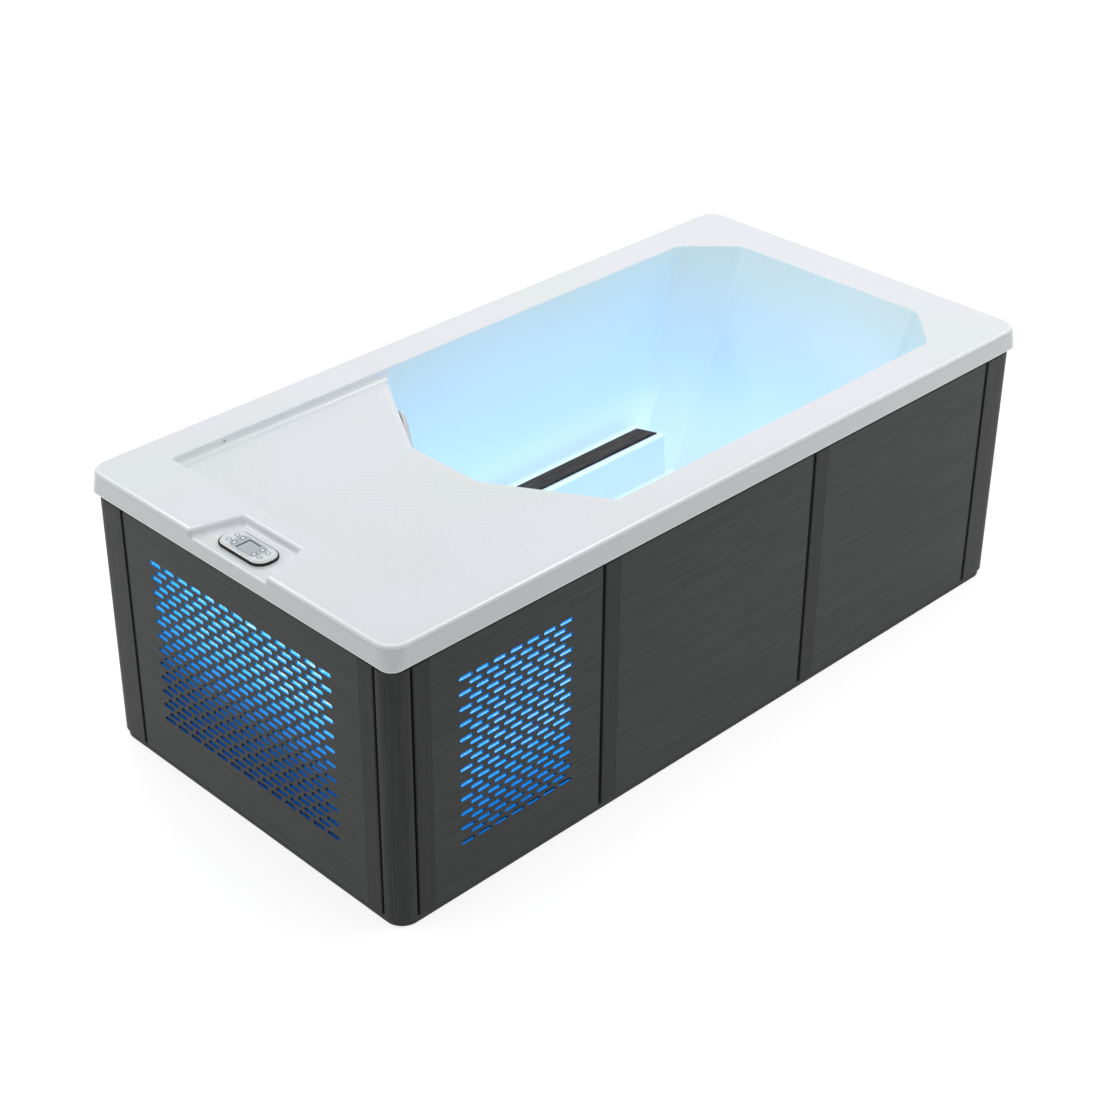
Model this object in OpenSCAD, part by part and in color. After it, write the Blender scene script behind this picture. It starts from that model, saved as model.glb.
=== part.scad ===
// Cold plunge tub with a built-in chiller.
// Origin at the middle of the base, +X towards the backrest end, +Y towards the rear, +Z up.
// The deck, the keypad and the machinery are at the -X end.

/* [Tub] */
// Length over the rim
tub_length = 2010; // [1950:10:2200]
// Width over the rim
tub_width = 990; // [970:5:1060]
// Height of the rim's top above the floor
tub_height = 695; // [685:5:740]
// Height of the lip round the rim
rim_lip_height = 55; // [45:1:56]
// Radius of the rim's corners in plan
rim_corner_radius = 42; // [36:1:60]
// Radius along the rim's top edge
rim_edge_radius = 9; // [6:1:16]
// How far the rim stands out past the cladding
rim_overhang = 6; // [6:0.5:10]
// Wall of the acrylic shell
shell_wall = 6; // [5:0.5:6]

/* [Basin] */
// Rim beside the basin's long walls
side_rim_width = 98; // [98:1:115]
// Rim beyond the backrest
head_rim_width = 119; // [115:1:140]
// Rim beyond the deck
deck_rim_width = 155; // [150:1:175]
// Length of the deck from its back wall to the basin
deck_length = 437; // [430:1:460]
// Depth of the deck below the rim
deck_recess = 25; // [22:1:28]
// How far the deck's back wall comes in from top to bottom
recess_draft = 3; // [1:0.5:5]
// Height of the basin's floor
floor_height = 130; // [130:1:150]
// How far the long walls come in between the rim and the floor
side_inset = 50; // [30:1:60]
// How far the backrest wall comes in
head_inset = 241; // [200:1:250]
// How far the corner walls beside the backrest come in
head_corner_inset = 188; // [170:1:210]
// How far the walls below the deck come in
deck_inset = 32; // [20:1:36]
// Length of a backrest corner along the tub
head_corner_length = 117; // [100:1:125]
// Width of a backrest corner across the tub
head_corner_width = 117; // [100:1:125]
// Length of a deck corner along the tub
deck_corner_length = 175; // [165:1:200]
// Width of the basin's wall below the deck's middle
deck_end_width = 212; // [200:2:230]
// Thickness of the foam round the basin
foam_thickness = 25; // [15:1:25]

/* [Ledge] */
// Height of the ledges above the basin's floor
ledge_height = 120; // [90:5:150]
// Width of a ledge
ledge_width = 82; // [76:1:110]
// Distance of a ledge's start from the deck's edge
ledge_start_gap = 313; // [290:1:360]
// Distance of a ledge's end from the backrest wall
ledge_end_gap = 83; // [70:1:110]
// How much further back a ledge ends at the wall
ledge_skew = 30; // [10:1:40]
// Width of the strip on a ledge
strip_width = 54; // [40:1:56]
// Thickness of the strip
strip_thickness = 5; // [3:0.5:8]
// Bare edge between the strip and the ledge's front
strip_margin = 15; // [8:1:16]

/* [Keypad] */
// Depth of the keypad's notch below the rim
notch_depth = 18; // [15:1:19]
// Width of the notch at the outside
notch_mouth_width = 257; // [240:1:280]
// Width of the notch at its back wall
notch_back_width = 187; // [180:1:200]
// Reach of the notch from the outside
notch_reach = 119; // [112:1:125]
// How far the notch's walls come in from top to bottom
notch_draft = 5; // [2:0.5:7]
// Place of the notch and the keypad across the tub
keypad_offset = 3; // [-10:1:10]
// Distance of the keypad's middle from the rim's end
keypad_setback = 56; // [54:1:60]
// Length of the keypad
keypad_length = 148; // [142:1:156]
// Width of the keypad
keypad_width = 66; // [62:1:70]
// Height of the black base under the bezel
keypad_base_height = 5; // [4.5:0.5:6]
// Height of the bezel
keypad_bezel_height = 4.5; // [4.5:0.1:6]
// How far the bezel is set in from the base
keypad_bezel_inset = 1.5; // [1:0.1:3]
// Width of the display window along the tub
display_width = 38; // [30:1:40]
// Length of the display window across the tub
display_length = 37; // [30:1:40]
// Diameter of a button's cap
button_diameter = 9; // [7:0.5:10]
// Travel of a button
button_travel = 0.8; // [0.4:0.1:0.8]
// Spacing of the two button rows
button_row_spacing = 22; // [18:1:24]
// Distance of the inner buttons from the keypad's middle
button_inner_reach = 32; // [30:1:34]
// Distance of the outer buttons from the keypad's middle
button_outer_reach = 50; // [46:1:51]

/* [Cladding] */
// Thickness of the panels and posts
panel_thickness = 12; // [10:0.5:14]
// How far the panels' fields lie behind the stiles
field_recess = 1; // [0.5:0.5:2]
// Outer radius of the corner posts
post_radius = 42; // [36:1:46]
// Inner radius of the corner posts
post_inner_radius = 18; // [14:1:20]
// Leg of a deck-end post along the tub
deck_post_leg = 46; // [46:1:60]
// Leg of a head-end post along the tub
head_post_leg = 101.5; // [80:0.5:110]
// Leg of a front post across the end
front_post_leg = 49; // [46:1:60]
// Leg of a rear post across the end
rear_post_leg = 100; // [80:1:110]
// Width of the shadow gaps
groove_width = 9; // [6:0.5:12]
// Width of the upright stiles
stile_width = 42; // [36:1:56]
// Middle of the first shadow gap between panels, from the cladding's deck end
first_joint = 580; // [570:1:600]
// Middle of the second shadow gap, from the cladding's deck end
second_joint = 1251; // [1230:1:1280]
// Height of the base tray's edge
tray_height = 16; // [10:0.5:18]
// Thickness of the base tray's floor
tray_floor = 4; // [3:0.5:6]
// How far the tray lies behind the cladding
tray_inset = 4; // [2:0.5:6]
// Gap between the cladding and the lip
lip_gap = 7.5; // [2:0.5:9]

/* [Vents] */
// Length of a vent slot
slot_length = 37; // [28:1:38]
// Height of a vent slot
slot_height = 10; // [6:0.5:11]
// Spacing of the slots in a row
slot_pitch = 46.7; // [44:0.1:49]
// Spacing of the rows
slot_row_pitch = 37; // [32:0.1:38]
// Rows of slots
slot_rows = 12; // [8:1:12]
// Slots in a row of the end panel
end_slot_count = 13; // [9:1:14]
// Slots in a row of the front panel
front_slot_count = 7; // [5:1:8]
// Shift of every second row on the end panel, as a share of the spacing
end_stagger_share = 0.4; // [0.3:0.05:0.7]
// Shift of every second row on the front panel, as a share of the spacing
front_stagger_share = 0.6; // [0.3:0.05:0.7]
// Height of the lowest row's middle
slot_bottom = 135; // [120:1:160]
// Thickness of the glow panels
glow_thickness = 3; // [2:0.5:3]

/* [Frame] */
// Side of the square frame tube
rail_size = 38; // [34:1:38]
// Wall of the frame tube
rail_wall = 2; // [1.5:0.5:3]
// Thickness of the black backing strips
backing_thickness = 6; // [4:0.5:6]
// Width of the black backing strips
backing_width = 56; // [40:1:60]
// Width of the timber bearers under the basin
bearer_width = 60; // [50:1:70]

/* [Chiller] */
// Diameter of the fan's opening
fan_opening = 300; // [260:2:304]
// Gap between the fan's blades and the opening
fan_tip_gap = 4; // [3:0.5:8]
// Depth of the condenser coil
coil_depth = 32; // [24:1:32]
// Height and width of the condenser coil
coil_size = 340; // [330:2:344]
// Diameter of the compressor
compressor_diameter = 150; // [130:2:150]
// Height of the compressor's can
compressor_height = 250; // [220:2:260]
// Diameter of the pump's volute
volute_diameter = 130; // [120:2:136]
// Diameter of the pump's motor
pump_motor_diameter = 110; // [90:2:112]
// Length of the pump's motor
pump_motor_length = 160; // [120:2:170]
// Outer diameter of the water pipes
pipe_diameter = 32; // [28:1:33]
// Wall of the water pipes
pipe_wall = 3; // [2:0.5:4]

/* [Fittings] */
// Diameter of the filter cap in the basin
filter_cap_diameter = 150; // [140:2:150]
// How far the filter cap stands off the wall
filter_cap_height = 22; // [20:1:26]
// Outer diameter of the filter canister
canister_diameter = 104; // [96:2:106]
// Length of the filter canister behind the wall
canister_length = 200; // [190:2:210]
// Diameter of the return jet's swivelling ball
jet_ball_diameter = 32; // [28:1:34]
// Diameter of the ball in the drain valve
valve_ball_diameter = 26; // [24:1:27]
// Outer diameter of the drain's hose spigot
spigot_diameter = 26.4; // [24:0.2:28]
// Bore of the power cable gland
gland_bore = 9.2; // [7:0.2:11]

/* [Fits] */
// Radial clearance of running fits
running_gap = 0.05; // [0.03:0.01:0.08]
// Clearance between pieces that move apart or drop in
loose_gap = 0.3; // [0.2:0.05:0.4]

/* [Hidden] */
BUTTONS = [for (n = [1:8]) str("button_", n)];

$fn = 48;
// Overrun of every cut
cut = 1;

// Cladding and frame planes, measured from the middle of the tub
rim_x = tub_length / 2;
rim_y = tub_width / 2;
clad_x = rim_x - rim_overhang;
clad_y = rim_y - rim_overhang;
clad_bottom = tray_height;
clad_top = tub_height - rim_lip_height - lip_gap;
clad_height = clad_top - clad_bottom;
frame_x = clad_x - panel_thickness - backing_thickness;
frame_y = clad_y - panel_thickness - backing_thickness;
frame_inner_x = frame_x - rail_size;
frame_inner_y = frame_y - rail_size;
base_rail_top = tray_floor + rail_size;
deck_z = tub_height - deck_recess;
deck_underside = deck_z - shell_wall;
top_rail_bottom = deck_underside - rail_size;

// Basin walls, anticlockwise from the backrest: angle of the outward normal, distance from the
// middle at the rim, distance at the deck's level, and how far the wall comes in at the floor
basin_side = rim_y - side_rim_width;
basin_head = rim_x - head_rim_width;
deck_back = rim_x - deck_rim_width;
deck_edge = deck_back - deck_length;
rim_depth = tub_height - floor_height;
basin_depth = deck_z - floor_height;
// Wall that runs straight from the rim to the floor
function rim_wall(angle, distance, inset) =
    [angle, distance, distance - inset * deck_recess / rim_depth, inset * basin_depth / rim_depth];
head_corner_angle = atan2(head_corner_length, head_corner_width);
head_corner_distance = basin_head * cos(head_corner_angle)
    + (basin_side - head_corner_width) * sin(head_corner_angle);
side_at_deck = basin_side - side_inset * deck_recess / rim_depth;
deck_corner_angle = atan2(deck_corner_length, side_at_deck - deck_end_width / 2);
deck_corner_distance = deck_edge * cos(deck_corner_angle) + deck_end_width / 2 * sin(deck_corner_angle);
basin_walls = [
    rim_wall(0, basin_head, head_inset),
    rim_wall(head_corner_angle, head_corner_distance, head_corner_inset),
    rim_wall(90, basin_side, side_inset),
    [180 - deck_corner_angle, deck_corner_distance, deck_corner_distance, deck_inset],
    [180, deck_edge, deck_edge, deck_inset],
    [180 + deck_corner_angle, deck_corner_distance, deck_corner_distance, deck_inset],
    rim_wall(270, basin_side, side_inset),
    rim_wall(360 - head_corner_angle, head_corner_distance, head_corner_inset)];
recess_walls = [
    basin_walls[0], basin_walls[1], basin_walls[2],
    [180, deck_back, deck_back - recess_draft, 0],
    basin_walls[6], basin_walls[7]];

// Crossing point of two lines given by their normals' angles and distances
function meet(a, da, b, db) = [da * sin(b) - db * sin(a), db * cos(a) - da * cos(b)] / sin(b - a);
// Distance of a wall from the middle at height z, with its face moved out by grow
function wall_distance(wall, z, grow) = grow + (z > deck_z
    ? wall[2] + (wall[1] - wall[2]) * (z - deck_z) / deck_recess
    : wall[2] - wall[3] * (deck_z - z) / basin_depth);
// Outline of a set of walls at height z, with every face moved out by grow
function ring(walls, z, grow) = [for (i = [0:len(walls) - 1])
    let (a = walls[i], b = walls[(i + 1) % len(walls)])
    meet(a[0], wall_distance(a, z, grow), b[0], wall_distance(b, z, grow))];
// Lean of a basin wall from the vertical
function wall_lean(wall) = atan2(wall[3], basin_depth);
// Middle of a basin wall at height z
function wall_middle(i, z) = let (points = ring(basin_walls, z, 0))
    (points[i - 1] + points[i]) / 2;

// Solid between two outlines with the same number of points
module loft(lower, z0, upper, z1) {
    n = len(lower);
    polyhedron(
        points = concat([for (p = lower) [p[0], p[1], z0]], [for (p = upper) [p[0], p[1], z1]]),
        faces = concat([[for (i = [0:n - 1]) i]], [[for (i = [0:n - 1]) 2 * n - 1 - i]],
            [for (i = [0:n - 1]) [i, n + i, n + (i + 1) % n, (i + 1) % n]]));
}

// Solid inside a set of walls between two heights
module walled(walls, z0, z1, grow) loft(ring(walls, z0, grow), z0, ring(walls, z1, grow), z1);

// Rectangle with round corners
module rounded(l, w, r) {
    square([l - 2 * r, w], center = true);
    square([l, w - 2 * r], center = true);
    for (sx = [-1, 1], sy = [-1, 1]) translate([sx * (l / 2 - r), sy * (w / 2 - r)]) circle(r);
}

// Slot with round ends, along x
module stadium(l, w) {
    square([l - w, w], center = true);
    for (s = [-1, 1]) translate([s * (l - w) / 2, 0]) circle(w / 2);
}

// Places its children on the inner face of basin wall i at height z, with +Z into the basin
module on_wall(i, z) {
    place = wall_middle(i, z);
    translate([place[0], place[1], z])
        rotate([0, 90 - wall_lean(basin_walls[i]), basin_walls[i][0] + 180]) children();
}

// Ring with its base at z0 and its top at z1
module tube(r_out, r_in, z0, z1) {
    translate([0, 0, z0]) difference() {
        cylinder(r = r_out, h = z1 - z0);
        translate([0, 0, -cut]) cylinder(r = r_in, h = z1 - z0 + 2 * cut);
    }
}

// Box between two opposite corners
module block(low, high) translate(low) cube(high - low);

// Closed box with a hollow inside
module housing(low, size, wall) translate(low) difference() {
    cube(size);
    translate([wall, wall, wall]) cube([for (s = size) s - 2 * wall]);
}

// Square tube between two corners, hollow along axis 0, 1 or 2
module rail(low, high, axis) {
    bore = [for (k = [0:2]) k == axis ? -cut : rail_wall];
    difference() {
        block(low, high);
        block(low + bore, high - bore);
    }
}

// Rod along points that turn square corners, with round bends
module bent_rod(points, r, bend) {
    last = len(points) - 1;
    function heading(i) = let (v = points[i + 1] - points[i]) v / norm(v);
    for (i = [0:last - 1]) {
        h = heading(i);
        a = points[i] + h * (i == 0 ? 0 : bend);
        b = points[i + 1] - h * (i == last - 1 ? 0 : bend);
        translate(a) rotate([0, acos(h[2]), atan2(h[1], h[0])]) cylinder(r = r, h = norm(b - a));
    }
    for (i = [1:last - 1]) {
        h = heading(i - 1);
        o = heading(i);
        c = points[i] + (o - h) * bend;
        up = cross(h, o);
        multmatrix([[-o[0], h[0], up[0], c[0]], [-o[1], h[1], up[1], c[1]], [-o[2], h[2], up[2], c[2]]])
            rotate_extrude(angle = 90) translate([bend, 0]) circle(r);
    }
}

// Tube along such points
module bent_pipe(points, r, wall, bend) difference() {
    bent_rod(points, r, bend);
    bent_rod(points, r - wall, bend);
}

// Acrylic shell

// Bar of the rim along x with rounded top edges
module rim_bar(l, w, h, e) {
    translate([-l / 2, 0, 0]) rotate([90, 0, 90]) linear_extrude(l) {
        translate([-w / 2, 0]) square([w, h - e]);
        translate([-w / 2 + e, 0]) square([w - 2 * e, h]);
        for (s = [-1, 1]) translate([s * (w / 2 - e), h - e]) circle(e);
    }
}

// Slab with rounded corners in plan and a rounded top edge
module rim_slab(l, w, h, r, e) {
    rim_bar(l - 2 * r, w, h, e);
    rotate([0, 0, 90]) rim_bar(w - 2 * r, l, h, e);
    for (sx = [-1, 1], sy = [-1, 1]) translate([sx * (l / 2 - r), sy * (w / 2 - r), 0])
        rotate_extrude() {
            square([r, h - e]);
            square([r - e, h]);
            translate([r - e, h - e]) intersection() {
                circle(e);
                square([e, e]);
            }
        }
}

module rim_solid(inset, h) {
    translate([0, 0, tub_height - rim_lip_height])
        rim_slab(tub_length - 2 * inset, tub_width - 2 * inset, h, rim_corner_radius - inset,
            rim_edge_radius - inset);
}

// Ledge block on one side of the basin, shrunk by inset, reaching out through the wall
ledge_top = floor_height + ledge_height;
ledge_front = wall_distance(basin_walls[2], ledge_top, 0) - ledge_width;
ledge_start = -deck_edge + ledge_start_gap;
ledge_end = wall_distance(basin_walls[0], ledge_top, 0) - ledge_end_gap;
ledge_draft = shell_wall;
module ledge_block(side, inset) {
    outer = basin_side + foam_thickness;
    reach_share = (outer - ledge_front) / ledge_width;
    function outline(lean) = [
        [ledge_start + inset - lean, ledge_front + inset - lean],
        [ledge_end - inset, ledge_front + inset - lean],
        [ledge_end - inset - ledge_skew * reach_share, outer],
        [ledge_start + inset - lean, outer]];
    mirror([0, side < 0 ? 1 : 0, 0])
        loft(outline(ledge_draft), floor_height - shell_wall - cut, outline(0), ledge_top - inset);
}

// Keypad notch in the rim, with its faces moved out by grow
notch_floor = tub_height - notch_depth;
module notch(grow, top) {
    function outline(draft) = [
        [-rim_x - cut, -notch_mouth_width / 2 + draft - grow],
        [-rim_x + notch_reach - draft + grow, -notch_back_width / 2 + draft - grow],
        [-rim_x + notch_reach - draft + grow, notch_back_width / 2 - draft + grow],
        [-rim_x - cut, notch_mouth_width / 2 - draft + grow]];
    translate([0, keypad_offset, 0])
        loft(outline(notch_draft), notch_floor - grow, outline(0), top);
}

light_drop = 130;
suction_clearance = 0.9;
light_radius = 38;
// Round holes in the shell's walls: wall, height, radius
light_height = floor_height + ledge_height + light_radius + light_drop;
suction_height = floor_height + volute_diameter / 2 + loose_gap;
canister_radius = canister_diameter / 2;
cap_below_deck = 10;
canister_height = deck_z - filter_cap_diameter / 2 - cap_below_deck;
jet_height = 400;
jet_wall = 4;
jet_tube_radius = jet_ball_diameter / 2 + jet_wall + shell_wall;
wall_holes = [
    [3, canister_height, canister_radius + loose_gap],
    [4, suction_height, pipe_diameter / 2 + suction_clearance],
    [4, light_height, light_radius + loose_gap],
    [5, jet_height, jet_tube_radius + loose_gap]];
drain_setback = 58;
drain_place = [-deck_edge + deck_inset + drain_setback, 0];
drain_tail_radius = pipe_diameter / 2 + pipe_wall;
weep_radius = 4;
weep_setback = 142;

module wall_bores(extra) {
    for (hole = wall_holes) on_wall(hole[0], hole[1])
        translate([0, 0, -bore_length]) cylinder(r = hole[2] + extra, h = bore_length + side_inset);
    translate([drain_place[0], drain_place[1], 0])
        cylinder(r = drain_tail_radius + loose_gap + extra, h = tub_height);
}
bore_length = 4 * foam_thickness;

module acrylic_shell() {
    color("white") difference() {
        union() {
            difference() {
                rim_solid(0, rim_lip_height);
                translate([0, 0, -cut]) rim_solid(shell_wall, rim_lip_height - shell_wall + cut);
            }
            intersection() {
                rim_solid(0, rim_lip_height);
                union() {
                    walled(recess_walls, deck_underside, tub_height, shell_wall);
                    notch(shell_wall, tub_height);
                }
            }
            difference() {
                walled(basin_walls, floor_height - shell_wall, deck_z, shell_wall);
                for (side = [-1, 1]) ledge_block(side, shell_wall);
            }
        }
        walled(recess_walls, deck_z, tub_height + cut, 0);
        difference() {
            walled(basin_walls, floor_height, deck_z, 0);
            for (side = [-1, 1]) ledge_block(side, 0);
        }
        notch(0, tub_height + cut);
        wall_bores(0);
        translate([-deck_back + weep_setback, basin_side + shell_wall + cut, deck_z + deck_recess / 2])
            rotate([90, 0, 0]) cylinder(r = weep_radius, h = 2 * (shell_wall + cut));
        translate([keypad_x + keypad_width / 2 - cable_hole_setback, keypad_offset,
            notch_floor - 2 * shell_wall]) cylinder(r = cable_hole_radius, h = notch_depth);
    }
}
cable_hole_radius = 5;
cable_hole_setback = 14;

// Insulation

foam_bottom = floor_height - shell_wall - foam_thickness;
module insulation_foam() {
    color("khaki") difference() {
        walled(basin_walls, foam_bottom, deck_underside - loose_gap, shell_wall + foam_thickness);
        walled(basin_walls, floor_height - shell_wall - loose_gap, deck_underside,
            shell_wall + loose_gap);
        wall_bores(foam_relief);
    }
}
foam_relief = 4;

// Base and frame

module base_tray() {
    color("black") {
        linear_extrude(tray_floor)
            rounded(2 * (clad_x - tray_inset), 2 * (clad_y - tray_inset), post_radius);
        linear_extrude(tray_height) difference() {
            rounded(2 * (clad_x - tray_inset), 2 * (clad_y - tray_inset), post_radius);
            rounded(2 * (clad_x - panel_thickness), 2 * (clad_y - panel_thickness),
                post_inner_radius);
        }
    }
}

// Middles of the panels' joints and of the cross rails along the tub
joint_places = [-clad_x + first_joint, -clad_x + second_joint];
bearer_shares = [0.12, 0.52];
bearer_drain_gap = 72;
bearer_places = concat([drain_place[0] + bearer_drain_gap], [for (share = bearer_shares) share * rim_x]);
machine_rail_setback = 141;
machine_rail = -clad_x + first_joint - machine_rail_setback;

module cross_rails(places, z) {
    for (x = places) rail([x - rail_size / 2, -frame_inner_y, z],
        [x + rail_size / 2, frame_inner_y, z + rail_size], 1);
}

module long_rails(z) {
    for (s = [-1, 1]) rail([-frame_x, s * (frame_inner_y + rail_size / 2) - rail_size / 2, z],
        [frame_x, s * (frame_inner_y + rail_size / 2) + rail_size / 2, z + rail_size], 0);
}

frame_ends = [-frame_x + rail_size / 2, frame_x - rail_size / 2];
module base_frame() {
    color("silver") {
        long_rails(tray_floor);
        cross_rails(concat(frame_ends, [machine_rail], bearer_places), tray_floor);
    }
}

deck_rail_shift = 52;
deck_rail = (-frame_inner_x - deck_edge) / 2 + deck_rail_shift;
module top_frame() {
    color("silver") {
        long_rails(top_rail_bottom);
        cross_rails(concat(frame_ends, [deck_rail]), top_rail_bottom);
    }
}

module frame_uprights() {
    color("silver") for (x = concat(frame_ends, joint_places), s = [-1, 1])
        rail([x - rail_size / 2, s * (frame_inner_y + rail_size / 2) - rail_size / 2, base_rail_top],
            [x + rail_size / 2, s * (frame_inner_y + rail_size / 2) + rail_size / 2, top_rail_bottom], 2);
}

// Timber packers between the top rails and the rim
module rim_packers() {
    color("peru") {
        for (s = [-1, 1])
            translate([0, s * (frame_inner_y + rail_size / 2), deck_underside + deck_recess / 2])
            cube([2 * frame_inner_x - 2 * packer_gap, rail_size, deck_recess], center = true);
        translate([frame_x - rail_size / 2, 0, deck_underside + deck_recess / 2])
            cube([rail_size, 2 * frame_inner_y - 2 * packer_gap, deck_recess], center = true);
        for (s = [-1, 1]) translate([-frame_x + rail_size / 2,
            keypad_offset / 2 + s * (notch_mouth_width / 2 + frame_inner_y) / 2,
            deck_underside + deck_recess / 2])
            cube([rail_size, frame_inner_y - notch_mouth_width / 2 - 2 * packer_gap, deck_recess],
                center = true);
    }
}
packer_gap = 8;

module basin_bearers() {
    color("peru") for (x = bearer_places) translate([x, 0, (base_rail_top + foam_bottom) / 2])
        cube([bearer_width, 2 * frame_inner_y, foam_bottom - base_rail_top], center = true);
}

// Cladding

// Slab on the front face from an outline in x and z, with its outer face set back
module front_slab(thickness, setback) {
    translate([0, -clad_y + setback + thickness, 0]) rotate([90, 0, 0])
        linear_extrude(thickness) children();
}

// Slab on the deck end from an outline in y and z
module end_slab(thickness, setback) {
    translate([-clad_x + setback, 0, 0]) rotate([90, 0, 90]) linear_extrude(thickness) children();
}

// Upright strip in an outline, from u0 to u1
module upright(u0, u1) translate([u0, clad_bottom]) square([u1 - u0, clad_height]);

module corner_posts() {
    color("#454747") translate([0, 0, clad_bottom]) linear_extrude(clad_height)
        for (sx = [-1, 1], sy = [-1, 1]) intersection() {
            difference() {
                rounded(2 * clad_x, 2 * clad_y, post_radius);
                rounded(2 * (clad_x - panel_thickness), 2 * (clad_y - panel_thickness),
                    post_inner_radius);
            }
            post_corner(sx, sy, sx < 0 ? deck_post_leg : head_post_leg, end_leg(sx, sy));
        }
}
function end_leg(sx, sy) = sy < 0 ? front_post_leg : rear_post_leg;
module post_corner(sx, sy, leg_x, leg_y) {
    translate([sx * (clad_x - leg_x / 2 + cut / 2), sy * (clad_y - leg_y / 2 + cut / 2)])
        square([leg_x + cut, leg_y + cut], center = true);
}

// Shadow gaps on a long side, and the fields between them, as start and end
first_groove = -clad_x + deck_post_leg + groove_width / 2;
last_groove = clad_x - head_post_leg - groove_width / 2;
long_grooves = concat([first_groove], joint_places, [last_groove]);
function panel_start(i) = long_grooves[i] + groove_width / 2;
function panel_end(i) = long_grooves[i + 1] - groove_width / 2;
end_front = -clad_y + front_post_leg + groove_width;
end_rear = clad_y - rear_post_leg - groove_width;

module stile_battens() {
    color("#3c3b3a") {
        for (side = [0, 1], i = [0:2]) mirror([0, side, 0])
            front_slab(panel_thickness, 0) upright(panel_start(i), panel_start(i) + stile_width);
        for (side = [0, 1]) mirror([side, 0, 0])
            end_slab(panel_thickness, 0) upright(end_front, end_front + stile_width);
    }
}

// Field of long-side panel i
module long_field(i) upright(panel_start(i) + stile_width, panel_end(i));
module end_field() upright(end_front + stile_width, end_rear);
field_thickness = panel_thickness - field_recess;

// Staggered rows of slots round a middle, in an outline
module slot_rows_outline(middle, count, stagger) {
    for (row = [0:slot_rows - 1], i = [0:count - 1])
        translate([middle + (i - (count - 1) / 2) * slot_pitch, slot_bottom + row * slot_row_pitch])
            stadium(slot_length, slot_height);
    for (row = [0:slot_rows - 2], i = [0:count - 2])
        translate([middle + (i + stagger - (count - 1) / 2) * slot_pitch,
            slot_bottom + (row + half_share) * slot_row_pitch]) stadium(slot_length, slot_height);
}
half_share = 0.5;
front_vent_shift = 4;
front_vent_middle = (panel_start(0) + stile_width + panel_end(0)) / 2 - front_vent_shift;
end_vent_middle = (end_front + stile_width + end_rear) / 2;

module front_panel_vented() {
    color("#444646") front_slab(field_thickness, field_recess) difference() {
        long_field(0);
        slot_rows_outline(front_vent_middle, front_slot_count, front_stagger_share);
    }
}
module front_panel_middle() color("#444646") front_slab(field_thickness, field_recess) long_field(1);
module front_panel_head() color("#444646") front_slab(field_thickness, field_recess) long_field(2);

niche_setback = 319;
niche_lift = 4;
niche_place = [-clad_x + niche_setback, base_rail_top + niche_lift];
niche_width = 150;
niche_height = 130;
gland_spacing = 90;
gland_lift = 60;
gland_place = [niche_place[0] - niche_width / 2 - gland_spacing, niche_place[1] + gland_lift];
gland_wall = 4;
gland_radius = gland_bore / 2 + gland_wall;

module rear_panel_service() {
    color("#444646") mirror([0, 1, 0]) front_slab(field_thickness, field_recess) difference() {
        long_field(0);
        translate([niche_place[0] - niche_width / 2, niche_place[1]]) square([niche_width, niche_height]);
        translate(gland_place) circle(gland_radius + loose_gap);
    }
}
module rear_panel_middle() color("#444646") mirror([0, 1, 0])
    front_slab(field_thickness, field_recess) long_field(1);
module rear_panel_head() color("#444646") mirror([0, 1, 0])
    front_slab(field_thickness, field_recess) long_field(2);

module end_panel_vented() {
    color("#444646") end_slab(field_thickness, field_recess) difference() {
        end_field();
        slot_rows_outline(end_vent_middle, end_slot_count, 1 - end_stagger_share);
    }
}
module end_panel_head() color("#444646") mirror([1, 0, 0])
    end_slab(field_thickness, field_recess) end_field();

module backing_strips() {
    color("#0f0f0f") {
        for (side = [0, 1], x = long_grooves) mirror([0, side, 0])
            front_slab(backing_thickness, panel_thickness)
                upright(x - backing_reach(x), x + backing_width / 2);
        for (side = [0, 1], y = [end_front - groove_width / 2, end_rear + groove_width / 2])
            mirror([side, 0, 0])
            end_slab(backing_thickness, panel_thickness)
                upright(max(y - backing_width / 2, -backing_limit), min(y + backing_width / 2, backing_limit));
    }
}
function backing_reach(x) = min(backing_width / 2, x + clad_x - panel_thickness - post_inner_radius);
backing_limit = clad_y - panel_thickness - post_inner_radius;

glow_air_gap = 40;
// Glow panels and their light strips, hung on the inner faces of the top rails
glow_bottom = base_rail_top + glow_air_gap;
glow_height = deck_underside - rail_size / 2 - glow_bottom;
module glow_panel_front() {
    color("deepskyblue") translate([-frame_inner_x + glow_thickness + packer_gap, -frame_inner_y, glow_bottom])
        cube([joint_places[0] + frame_inner_x - packer_gap - glow_thickness, glow_thickness,
            top_rail_bottom - glow_bottom]);
}
module glow_panel_end() {
    color("deepskyblue") translate([-frame_inner_x, -frame_inner_y + packer_gap, glow_bottom])
        cube([glow_thickness, 2 * (frame_inner_y - packer_gap), glow_height]);
}
led_width = 10;
led_height = 3;
led_bottom = top_rail_bottom - led_height;
module led_strips() {
    color("white") {
        block([-frame_inner_x + packer_gap, -frame_y + rail_size / 2 - led_width / 2, led_bottom],
            [joint_places[0] - rail_size, -frame_y + rail_size / 2 + led_width / 2, top_rail_bottom]);
        block([-frame_x + rail_size / 2 - led_width / 2, -frame_inner_y + packer_gap, led_bottom],
            [-frame_x + rail_size / 2 + led_width / 2, frame_inner_y - packer_gap, top_rail_bottom]);
    }
}

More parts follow.
